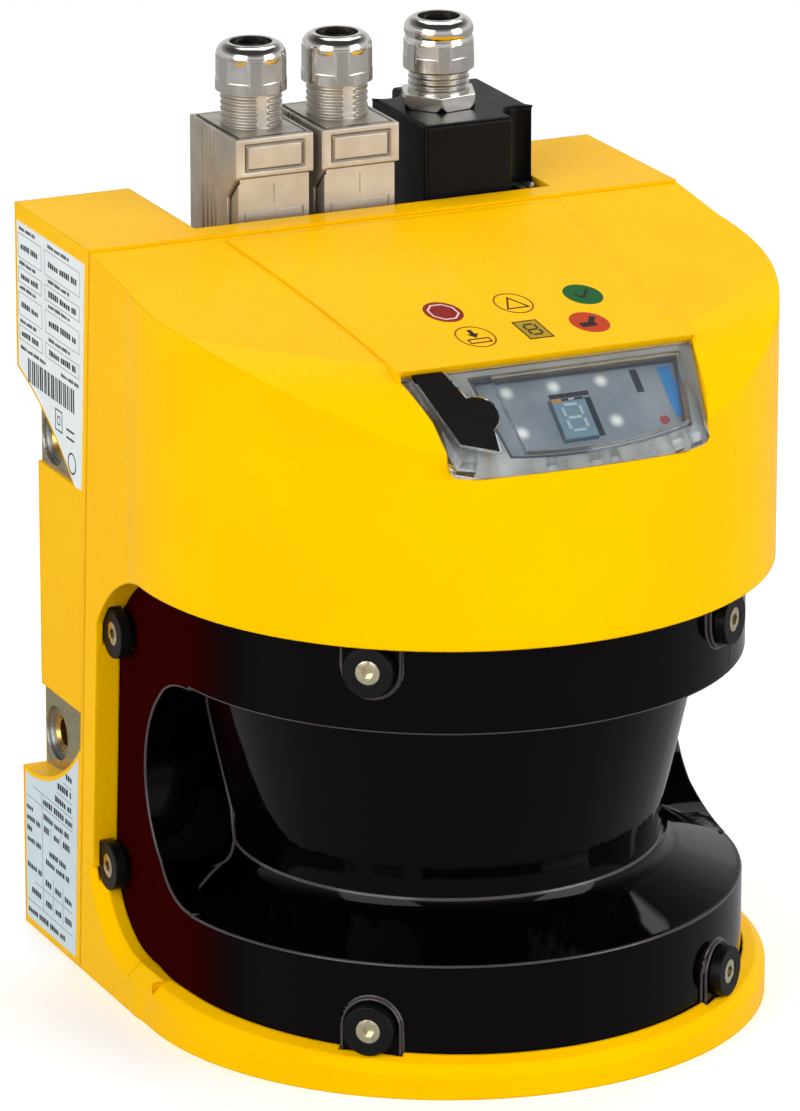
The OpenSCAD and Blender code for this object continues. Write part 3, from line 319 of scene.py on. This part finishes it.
def screen_plastic():
    """Gloss black with the plastic's dark red tint and a painted glow where the outward side walls
    are seen through.
    """
    m = Mat("screen_gloss_black", 0.06)
    facing = m.axis("X", m.node("NewGeometry").outputs["Normal"])
    wall = m.fade(m.product(facing, m.axis("X")), *RED_TINT_AND_GLOW_WALL_X)
    # painted glow: dark red goes into the base colour only on the outward walls towards the back,
    # where light shines through the red plastic
    red = m.product(m.fade(m.axis("Y"), *RED_TINT_AND_GLOW_Y), wall)
    black = m.patches(m.noise(18, 3), "030102", "050203", 0.35)
    m.set(Base_Color=m.mix(red, black, srgb("2E0301")),
          Roughness=m.span(m.noise(70, 4), 0.04, 0.09),
          Specular_IOR_Level=m.span(wall, 0.11, 0.0))
    m.bump((m.noise(240, 2), 0.03, 0.08))
    return m.material


def clear_plastic(name, tint, rough):
    m = Mat(name, rough, Transmission_Weight=1.0, IOR=1.42)
    m.set(Base_Color=m.patches(m.noise(40, 3), tint, "F4F7F9"),
          Roughness=m.span(m.noise(90, 4), rough * 0.7, rough * 1.6))
    m.bump((m.noise(300, 2), 0.04, 0.05))
    return m.material


def over_window(m, height):
    """One where the surface lies higher than this over the window's face, in mm."""
    out = WINDOW_FRAME.col[2].xyz
    level = out.dot(WINDOW_FRAME.translation) + height * MM
    return m.maths("GREATER_THAN", m.to_point("DOT_PRODUCT", out), level)


def tray_plastic():
    """Frosted, cloudy blue-grey with a dark rim, and soft glows over the five lamps."""
    m = Mat("tray_frosted", 0.45, Specular_IOR_Level=0.3)
    cloud = m.patches(m.noise(95, 5, rough=0.6), "8E969E", "AAB0B6", 0.25)
    spots = [WINDOW_FRAME @ (Vector((x, y, LAMP_DEPTH)) * MM) for x, y in LAMP_SPOTS]
    near = m.to_point("DISTANCE", spots[0])
    for spot in spots[1:]:
        near = m.maths("MINIMUM", near, m.to_point("DISTANCE", spot))
    glow = m.fade(near, *LAMP_GLOW, 1.0, 0.0)
    lit = m.mix(glow, cloud, srgb("EFEFE6"))
    m.set(Base_Color=m.mix(over_window(m, TRAY_RIM), lit, srgb("555A62")),
          Emission_Color=srgb("F6F4EA"), Emission_Strength=m.product(glow, 0.35))
    m.bump((m.noise(700, 2), 0.2, 0.05))
    return m.material


def digit_plastic():
    """Pale display block with lighter segments on it."""
    m = Mat("digit_pale", 0.3, Specular_IOR_Level=0.4)
    base = m.patches(m.noise(260, 3), "83A0AE", "8FAAB6")
    m.set(Base_Color=m.mix(over_window(m, DIGIT_TOP), base, srgb("CFDCE1")))
    m.bump((m.noise(900, 2), 0.08, 0.03))
    return m.material


BLACK = finish("black_moulded")
RUBBER = finish("black_rubber")
BRIGHT = finish("nickel_bright")
ZINC = finish("zinc_nickel_matt")
STEEL = finish("steel_turned")
BRASS = finish("brass_turned")
ALUMINIUM = finish("aluminium_cast")
BOARD = finish("circuit_board")

LOOKS = {
    "front_housing": yellow_paint("powder_coat_yellow", False),
    "rear_housing": yellow_paint("powder_coat_yellow_faced", True),
    "housing_gasket": RUBBER, "housing_screws": STEEL, "thread_inserts": BRASS,
    "upper_label": finish("label_film_upper"), "lower_label": finish("label_film_lower"),
    "front_screen": screen_plastic(), "screen_seal": RUBBER, "screen_bushes": BLACK,
    "screen_screws": finish("zinc_passivated"),
    "display_window": clear_plastic("window_clear", "D3D9DE", 0.05),
    "window_gasket": finish("gasket_grey"), "light_tray": tray_plastic(),
    "display_board": BOARD, "status_leds": finish("led_dome"),
    "digit_display": digit_plastic(), "config_socket": STEEL, "port_cap": RUBBER,
    "optics_frame": ALUMINIUM, "laser_module": BRASS,
    "receiver_lens": clear_plastic("lens_clear", "E8EEF2", 0.04),
    "receiver_board": BOARD, "motor_housing": ALUMINIUM, "motor_bearings": STEEL,
    "motor_shaft": STEEL, "encoder_disc": STEEL, "encoder_sensor": BLACK,
    "mirror_carrier": BLACK, "scan_mirror": finish("mirror_coat"), "main_board": BOARD,
    "board_standoffs": BRASS, "io_board": BOARD, "bus_sockets": BLACK,
    "left_plug_body": ZINC, "left_plug_sleeve": ZINC, "left_gland_nut": BRIGHT,
    "left_gland_seal": RUBBER, "right_plug_body": ZINC, "right_plug_sleeve": ZINC,
    "right_gland_nut": BRIGHT, "right_gland_seal": RUBBER,
    "system_plug_cover": finish("cover_satin_black"), "system_plug_insert": BLACK,
    "system_plug_screws": STEEL, "system_gland_body": STEEL, "system_lock_nut": BRIGHT,
    "system_gland_nut": BRIGHT, "system_gland_seal": RUBBER,
}

# Painted highlight: the faces of the polished screen's rounded edges are coloured grey, as thin
# lines like those its edges show in the light.
PAINTED_EDGE_HIGHLIGHTS = {"front_screen": finish("screen_edge_painted_highlight")}


def dress(obj, material):
    for slot in obj.material_slots:
        slot.link = "OBJECT"
        slot.material = material
    if not obj.material_slots:
        obj.data.materials.append(material)


def round_edges(obj, width, free):
    """Weld, bevel and smooth a mesh by modifiers; a free one lets its bevels run on."""
    weld = obj.modifiers.new("weld", "WELD")
    weld.merge_threshold = (FREE_WELD if free else WELD) * MM
    if free:
        flat = obj.modifiers.new("flat", "DECIMATE")
        flat.decimate_type = "DISSOLVE"
        flat.angle_limit = FLAT_ANGLE
    bevel = obj.modifiers.new("round", "BEVEL")
    bevel.width = width * MM
    bevel.segments = ROUND_STEPS
    bevel.limit_method = "ANGLE"
    bevel.angle_limit = ROUND_ANGLE
    bevel.use_clamp_overlap = not free
    even = obj.modifiers.new("even", "WEIGHTED_NORMAL")
    even.weight = FLAT_WEIGHT
    return bevel


def dress_edges(obj, bevel, material):
    """Give the faces that a bevel makes a material of their own."""
    obj.data.materials.append(material)
    slot = obj.material_slots[-1]
    slot.link = "OBJECT"
    slot.material = material
    bevel.material = len(obj.material_slots) - 1


for name, obj in NODES.items():
    dress(obj, LOOKS[name])
    if name in ROUNDS:
        bevel = round_edges(obj, ROUNDS[name], name in FREE)
        if name in PAINTED_EDGE_HIGHLIGHTS:
            dress_edges(obj, bevel, PAINTED_EDGE_HIGHLIGHTS[name])


# ------------------------------------------------------------------- flat shapes
def ngon(r, n, turn=0.0, cx=0.0, cy=0.0):
    angles = [turn + 2 * math.pi * i / n for i in range(n)]
    return [(cx + r * math.cos(a), cy + r * math.sin(a)) for a in angles]


def disc(r, cx=0.0, cy=0.0, n=40):
    return ngon(r, n, 0.0, cx, cy)


def box(x0, y0, x1, y1):
    return [(x0, y0), (x1, y0), (x1, y1), (x0, y1)]


def frame_box(x0, y0, x1, y1, w=0.14):
    """The outline of a box, w wide, as an outline and its hole."""
    return (box(x0, y0, x1, y1), box(x0 + w, y0 + w, x1 - w, y1 - w))


def bar(x0, y0, x1, y1, w):
    """A straight stroke of width w between two points."""
    d = Vector((x1 - x0, y1 - y0))
    n = Vector((-d.y, d.x)).normalized() * w / 2
    return [(x0 - n.x, y0 - n.y), (x1 - n.x, y1 - n.y), (x1 + n.x, y1 + n.y), (x0 + n.x, y0 + n.y)]


def wall(bm, a, b):
    """Quads between two loops of as many points."""
    for i in range(len(a)):
        j = (i + 1) % len(a)
        bm.faces.new((a[i], a[j], b[j], b[i]))


def flat_piece(name, frame_matrix, shapes, material, z0, z1, slot):
    """Closed plates between local heights; each shape is an outline, or (outline, hole)."""
    bm = bmesh.new()

    def loop(outline, z):
        return [bm.verts.new((x * MM, y * MM, z * MM)) for x, y in outline]

    for shape in shapes:
        if isinstance(shape, tuple):
            outer, inner = shape
            loops = [loop(outer, z0), loop(outer, z1), loop(inner, z1), loop(inner, z0)]
            for k in range(4):
                wall(bm, loops[k], loops[(k + 1) % 4])
        else:
            low, high = loop(shape, z0), loop(shape, z1)
            bm.faces.new(high)
            bm.faces.new(low[::-1])
            wall(bm, low, high)
    bmesh.ops.recalc_face_normals(bm, faces=bm.faces)
    mesh = bpy.data.meshes.new(name)
    bm.to_mesh(mesh)
    bm.free()
    mesh.materials.append(material)
    obj = bpy.data.objects.new(name, mesh)
    bpy.context.scene.collection.objects.link(obj)
    obj.matrix_world = frame_matrix
    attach(obj, "housing")


# ------------------------------------------------------------- panel pictograms
INK_DARK = ink("print_dark", "3A1E10")
# black print ink, which also serves as painted shade in the plug gaps and notches
BLACK_PRINT_AND_PAINTED_SHADE = ink("print_black", "241C16")
INK_RED = ink("print_red", "8A140B")
INK_WHITE = ink("print_white", "E4CFC4")
INK_GREEN = ink("print_green", "0B5A27")
INK_ORANGE = ink("print_orange", "BE3A0A")
INK_RIM = ink("print_rim", "7E2E0C")
INK_OLIVE = ink("print_olive", "B08E10")
ICON_STRETCH = (0.94, 1.27)           # the print is a little taller than wide
PRINT_RISE = 0.03                     # each layer stands this much over the last
PRINT_FOOT = 0.05

UPPER_ROW = -27.7
LOWER_ROW = -43.4
SEGMENTS = [
    (-1.2, 2.3, 1.2, 2.3), (-1.2, 0, 1.2, 0), (-1.2, -2.3, 1.2, -2.3), (-1.5, 0.3, -1.5, 2.0),
    (1.5, 0.3, 1.5, 2.0), (-1.5, -2.0, -1.5, -0.3), (1.5, -2.0, 1.5, -0.3),
]

# Place on the panel, then the layers of each pictogram from the bottom up.
ICONS = {
    "icon_stop": (-12.8, UPPER_ROW, [
        ([disc(4.8)], INK_RED),
        ([(ngon(3.9, 8, math.pi / 8), ngon(3.45, 8, math.pi / 8))], INK_WHITE),
    ]),
    "icon_warning": (5.3, UPPER_ROW, [
        ([(disc(4.8), disc(4.45))], INK_RIM),
        ([(ngon(3.7, 3, math.pi / 2, 0, -0.6), ngon(2.9, 3, math.pi / 2, 0, -0.6))], INK_DARK),
    ]),
    "icon_clear": (23.4, UPPER_ROW, [
        ([disc(4.8)], INK_GREEN),
        ([bar(-2.2, 0.3, -0.6, -1.6, 0.65), bar(-0.75, -1.6, 2.3, 2.0, 0.65)], BLACK_PRINT_AND_PAINTED_SHADE),
    ]),
    "icon_restart": (-11.8, LOWER_ROW, [
        ([(disc(4.9), disc(4.55))], INK_RIM),
        ([[(-1.5, 1.3), (0, -0.4), (1.5, 1.3)], box(-0.55, 1.2, 0.55, 3.2)], BLACK_PRINT_AND_PAINTED_SHADE),
        ([frame_box(-2.9, -2.9, 2.9, -0.9, 0.3)], INK_DARK),
    ]),
    "icon_digit": (2.9, LOWER_ROW, [
        ([box(-3.2, -4.1, 3.2, 4.1)], INK_OLIVE),
        ([frame_box(-3.3, -4.2, 3.3, 4.2, 0.35)], BLACK_PRINT_AND_PAINTED_SHADE),
        ([bar(*ends, 0.55) for ends in SEGMENTS], BLACK_PRINT_AND_PAINTED_SHADE),
    ]),
    "icon_service": (17.5, LOWER_ROW, [
        ([disc(4.8)], INK_ORANGE),
        ([box(-3.0, -1.9, 1.2, 0.1), [(-0.4, 0.1), (1.2, 0.1), (3.0, 1.9), (1.6, 2.6)]], BLACK_PRINT_AND_PAINTED_SHADE),
    ]),
}

for name, (x, y, layers) in ICONS.items():
    place = panel_frame(x, y) @ Matrix.Diagonal((*ICON_STRETCH, 1, 1))
    for i, (shapes, material) in enumerate(layers):
        top = PRINT_FOOT + PRINT_RISE * i
        flat_piece(f"{name}_{i}", place, shapes, material, -PRINT_FOOT, top, "label_film")


# ------------------------------------------- painted shade in the gap and latch notch of the plugs
def paint_plug_shade(side):
    """Painted shade: a dark line in the gap inside the sleeve's rim, and a dark plate in the notch
    in its front.
    """
    low, high = (Vector(corner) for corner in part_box(side + "_plug_sleeve"))
    middle = (low + high) / 2
    top = Matrix.Translation((middle.x, middle.y, high.z))
    w, d = ((high - low).xy / MM - Vector((2, 2)) * SLEEVE_RIM) / 2
    flat_piece(side + "_plug_gap_painted_shade", top, [frame_box(-w, -d, w, d, GAP_SHADE_LINE)],
               BLACK_PRINT_AND_PAINTED_SHADE, -LINE_HALF, LINE_HALF, "zinc_cast")
    notch = box(-NOTCH_HALF, NOTCH_Y[0] - d, NOTCH_HALF, NOTCH_Y[1] - d)
    flat_piece(side + "_plug_notch_painted_shade", top, [notch], BLACK_PRINT_AND_PAINTED_SHADE, *NOTCH_Z, "zinc_cast")


paint_plug_shade("left")
paint_plug_shade("right")

# ------------------------------------------------------------------- side labels
PRINT = ink("label_print_black", "1C1F22")
PRINT_GREY = ink("label_print_grey", "6C767C")
RULE = 0.16                           # width of a ruled line
SMALL = 0.9                           # height of the smallest print
LEAST_WORD = 0.3                      # a row of print ends where less than this is left


def side_print(name, shapes, material):
    """Thin print on the left side; shapes are given as (y, z) places."""
    def turned(outline):
        return [(LABEL_Y - y, z) for y, z in outline]

    shapes = [tuple(map(turned, s)) if isinstance(s, tuple) else turned(s) for s in shapes]
    flat_piece(name, LABEL_FRAME, shapes, material, -PRINT_FOOT, PRINT_RISE, "label_film")


def vary(least, swing, phase):
    """A size that a sine varies, so that every run draws the same print."""
    return least + swing * abs(math.sin(phase))


def words(y0, y1, z, tall, seed):
    """Short bars in a row, in place of a line of small print, with a wide gap after five."""
    out = []
    y = y1
    i = 0
    while y > y0 + LEAST_WORD:
        w = tall * vary(0.42, 0.3, seed + 1.7 * i)
        rise = tall * vary(0.72, 0.28, 2.1 * seed + 2.9 * i)
        out.append(box(max(y0, y - w), z - tall / 2, y, z - tall / 2 + rise))
        y -= w + tall * (0.75 if i % 5 == 4 else 0.22)
        i += 1
    return out


# lower label: a ruled table, its lines as (y, z, y, z)
LOW_RULES = [
    (46.6, 45.0, 52.6, 45.0), (46.6, 41.2, 57.6, 41.2), (46.6, 37.6, 72.8, 37.6),
    (46.6, 34.2, 77.6, 34.2), (47.4, 12.6, 72.4, 12.6), (47.4, 6.8, 77.6, 6.8),
    (67.0, 6.8, 67.0, 37.6), (60.0, 7.6, 60.0, 17.6), (53.7, 7.6, 53.7, 17.6),
    (61.2, 27.2, 61.2, 30.6), (54.6, 27.2, 54.6, 30.6),
]
# and its print as (first y, last y, z, height, seed)
LOW_WORDS = [
    (46.8, 50.6, 47.4, 1.7, 0.3), (46.8, 56.2, 43.2, 1.7, 1.1), (46.8, 58.0, 39.4, 1.7, 2.0),
    (46.8, 66.2, 35.8, 1.6, 2.8), (49.2, 66.0, 32.0, 1.5, 3.7), (62.4, 65.8, 28.8, 1.7, 0.8),
    (55.8, 59.2, 28.8, 1.7, 1.6), (48.6, 53.2, 28.8, 1.7, 2.4), (51.6, 62.4, 23.4, 1.4, 4.2),
    (49.2, 64.8, 20.6, 1.4, 5.1), (61.0, 65.2, 15.0, 1.6, 0.6), (54.8, 58.8, 15.0, 1.6, 1.9),
    (48.0, 52.4, 15.0, 1.6, 3.3), (61.0, 65.2, 9.6, 1.6, 2.6), (54.8, 58.8, 9.6, 1.6, 4.4),
    (48.0, 52.4, 9.6, 1.6, 5.5), (73.2, 77.2, 31.4, 1.3, 0.2), (68.4, 77.2, 28.6, 1.3, 1.4),
    (73.6, 77.2, 25.8, 1.3, 2.2), (68.0, 77.2, 23.0, 1.3, 3.1), (67.8, 77.2, 16.2, 1.5, 4.8),
    (67.8, 74.6, 10.0, 1.5, 0.9), (52.6, 77.0, 4.4, 1.5, 1.7),
]
side_print("label_low_rules", [bar(*ends, RULE) for ends in LOW_RULES], PRINT_GREY)
side_print("label_low_words", [w for row in LOW_WORDS for w in words(*row)], PRINT)

# upper label: four rows of two boxes, with print in and over each
HIGH_ROWS = ((151.4, 155.0), (157.6, 163.4), (165.8, 169.6), (172.0, 178.2))
FRONT_LEAN = 0.055                    # the front boxes widen upwards, along the curved edge
boxes = []
lines = []
for row, (z0, z1) in enumerate(HIGH_ROWS):
    shift = (z0 - HIGH_ROWS[0][0]) * FRONT_LEAN
    middle = (z0 + z1) / 2
    above = z1 + 1.3
    boxes += [frame_box(38.2 - shift, z0, 60.0, z1), frame_box(62.0, z0, 77.4, z1)]
    lines += words(40.4 - shift, 57.6, middle, 1.6, row + 0.4)
    lines += words(64.6, 75.6, middle, 1.4, row + 1.3)
    lines += words(44.0, 57.8, above, SMALL, row + 2.2)
    lines += words(66.0, 76.6, above, SMALL, row + 3.4)
lines += words(60.0, 76.4, 149.6, SMALL, 0.7)
lines += words(38.4, 50.0, 149.6, SMALL, 1.9)
side_print("label_high_boxes", boxes, PRINT_GREY)
side_print("label_high_words", lines, PRINT)


def bar_field(y0, y1, z0, z1):
    """Upright bars of varied width and gap, which stand for no code."""
    out = []
    y = y1
    i = 0
    while y > y0:
        w = vary(0.28, 0.62, 1.3 + 2.17 * i)
        out.append(box(y - w, z0, y, z1))
        y -= w + vary(0.3, 0.5, 0.4 + 1.53 * i)
        i += 1
    return out


side_print("label_bars", bar_field(42.2, 71.8, 141.9, 147.9), PRINT)
side_print("label_marks", [
    frame_box(49.6, 134.8, 54.2, 140.2, 0.35), frame_box(51.0, 136.4, 52.8, 138.6, 0.3),
    (disc(2.7, 43.6, 129.0), disc(2.25, 43.6, 129.0)),
    box(42.0, 134.6, 47.0, 135.1), box(42.0, 136.6, 47.0, 137.1)], PRINT)

# ------------------------------------------------------------- inside the window
PANE_BLUE = ink("pane_blue", "4B9CE0", 0.3)
PANE_RED = ink("pane_red", "B85A5A", 0.4)
PANE_ORANGE = ink("pane_orange", "F09A2A", 0.3)
PANE_DARK_AND_SHADOW = ink("pane_dark_and_shadow", "3E434B", 0.4)
PANE_WHITE = ink("pane_white", "E8ECEE", 0.3)
ON_TRAY = (-6.32, -6.2)
SHADE = (-6.32, -6.24)
ON_DIGIT = (-5.25, -5.14)
OVER_DIGIT = (-5.2, -5.1)
PANES = {
    "pane_patch": ([box(28.4, -17.4, 31.6, -3.4)], PANE_BLUE, ON_TRAY),
    "pane_spot": ([disc(1.2, 25.2, -18.0, 32)], PANE_RED, ON_TRAY),
    "pane_strip": ([box(21.4, -9.6, 23.2, -3.2)], PANE_DARK_AND_SHADOW, ON_TRAY),
    "pane_orange": ([box(-1.1, -10.1, 1.3, -9.3)], PANE_ORANGE, ON_DIGIT),
    "pane_top": ([box(1.4, -10.0, 6.9, -9.3)], PANE_DARK_AND_SHADOW, ON_DIGIT),
    "pane_tick": ([box(3.2, -9.85, 4.6, -9.45)], PANE_WHITE, OVER_DIGIT),
    # painted shadow: dark plates right of and above the digit block
    "pane_shade": ([box(7.7, -20.0, 9.3, -9.0), box(-0.8, -8.4, 9.3, -7.2)], PANE_DARK_AND_SHADOW, SHADE),
}
for name, (shapes, material, heights) in PANES.items():
    flat_piece(name, WINDOW_FRAME, shapes, material, *heights, "black_plastic")


# ----------------------------------------------------------------- camera, light
def aim(azimuth, elevation):
    """Right, up and back of a camera or lamp that looks at the object from this side."""
    a, e = math.radians(azimuth), math.radians(elevation)
    back = Vector((math.sin(a) * math.cos(e), -math.cos(a) * math.cos(e), math.sin(e)))
    right = Vector((math.cos(a), math.sin(a), 0))
    return right, back.cross(right), back


def place_viewer(name, data, where, axes):
    """Put a camera or a lamp at a place in metres."""
    obj = bpy.data.objects.new(name, data)
    obj.matrix_world = Matrix.Translation(where) @ Matrix(axes).transposed().to_4x4()
    bpy.context.scene.collection.objects.link(obj)
    return obj


CAMERA_AZIMUTH = -24.64
CAMERA_ELEVATION = 17.83
CAMERA_TARGET = Vector((0, 0, 92.5))  # in mm, as the next five
CAMERA_DISTANCE = 1844.65
CAMERA_LEFT = 10.13
CAMERA_RAISE = 15.02
CAMERA_LENS = 248.9
CAMERA_SENSOR = 36
CAMERA_REACH = 50                     # in metres
LAMP_TARGET = Vector((0, 0, 0.1))

# azimuth and elevation, distance, width and height in metres, and watts
LAMPS = {
    "key_left": (-62, 18, 1.3, 0.9, 1.1, 12.5),
    "fill_right": (42, 16, 1.5, 0.8, 1.1, 15.5),
    "top_back": (150, 60, 1.3, 0.9, 0.9, 6),
}


def add_camera():
    right, up, back = aim(CAMERA_AZIMUTH, CAMERA_ELEVATION)
    data = bpy.data.cameras.new("camera")
    data.lens = CAMERA_LENS
    data.sensor_width = CAMERA_SENSOR
    data.clip_end = CAMERA_REACH
    where = CAMERA_TARGET + back * CAMERA_DISTANCE - right * CAMERA_LEFT + up * CAMERA_RAISE
    bpy.context.scene.camera = place_viewer("camera", data, where * MM, (right, up, back))


def add_lamp(name, azimuth, elevation, distance, width, height, watts):
    data = bpy.data.lights.new(name, "AREA")
    data.energy = watts
    data.shape = "RECTANGLE"
    data.size = width
    data.size_y = height
    axes = aim(azimuth, elevation)
    place_viewer(name, data, LAMP_TARGET + axes[2] * distance, axes)


add_camera()
for name, numbers in LAMPS.items():
    add_lamp(name, *numbers)

# ------------------------------------------------------------------ world, floor
DIFFUSE_LEVEL = 0.45                  # what the world gives to the surfaces
# what mirrors see, from below to above: a pale wall all round under a dark ceiling
ROOM = ((0.0, 0.6), (0.48, 0.6), (0.62, 0.85), (0.74, 0.3), (0.86, 0.05))
FLOOR_SIZE = 9
FLOOR_MIDDLE = (0, 1.5, 0)
FLOOR_LEVELS = (0.86, 0.88)
FLOOR_BOUNCE = 0.42                   # it throws back less light than it shows
FLOOR_LIFT = 0.32                     # and glows a little to the camera
MIRRORED_FLOOR = (0.45, 1.0, -0.3, 0.5)   # greyer in front and paler behind, in metres


def seen(nodes, path):
    """One for the rays that show the scene, directly or through clear plastic."""
    return nodes.maths("MAXIMUM", path["Is Camera Ray"], path["Is Transmission Ray"])


def studio_world():
    world = bpy.data.worlds.new("world")
    bpy.context.scene.world = world
    w = Nodes(world, "Generated")
    path = w.node("LightPath").outputs
    height = w.maths("MULTIPLY_ADD", w.axis("Z"), 0.5, 0.5)
    room = w.ramp(height, [(position, grey(level)) for position, level in ROOM])
    dim = w.out("Mix", "Result", {"Factor": path["Is Glossy Ray"], "A": DIFFUSE_LEVEL, "B": room})
    level = w.out("Mix", "Result", {"Factor": seen(w, path), "A": dim, "B": 1.0})
    background = w.tree.nodes["Background"].inputs
    w.feed(background["Color"], grey(1.0))
    w.feed(background["Strength"], level)


def pale_floor():
    m = Mat("floor_pale", 0.6)
    path = m.node("LightPath").outputs
    pale = m.ramp(m.noise(6, 3), [(0.3, grey(FLOOR_LEVELS[0])), (0.7, grey(FLOOR_LEVELS[1]))])
    m.set(Base_Color=m.mix(path["Is Diffuse Ray"], pale, grey(FLOOR_BOUNCE)))
    m.bump((m.noise(60, 2), 0.02, 0.2))
    lift = m.out("Emission", "Emission", {"Strength": m.product(seen(m, path), FLOOR_LIFT)})
    lifted = m.out("AddShader", "Shader", {0: m.shader.outputs[0], 1: lift})
    mirrored = m.out("Emission", "Emission", {"Strength": m.span(m.axis("Y"), *MIRRORED_FLOOR)})
    both = m.out("MixShader", "Shader", {0: path["Is Glossy Ray"], 1: lifted, 2: mirrored})
    m.feed(m.tree.nodes["Material Output"].inputs["Surface"], both)
    return m.material


def add_floor():
    bpy.ops.mesh.primitive_grid_add(x_subdivisions=4, y_subdivisions=4, size=FLOOR_SIZE,
                                    location=FLOOR_MIDDLE)
    floor = bpy.context.object
    floor.name = "floor"
    floor.data.materials.append(pale_floor())


studio_world()
add_floor()
bpy.context.scene.view_settings.view_transform = "Standard"
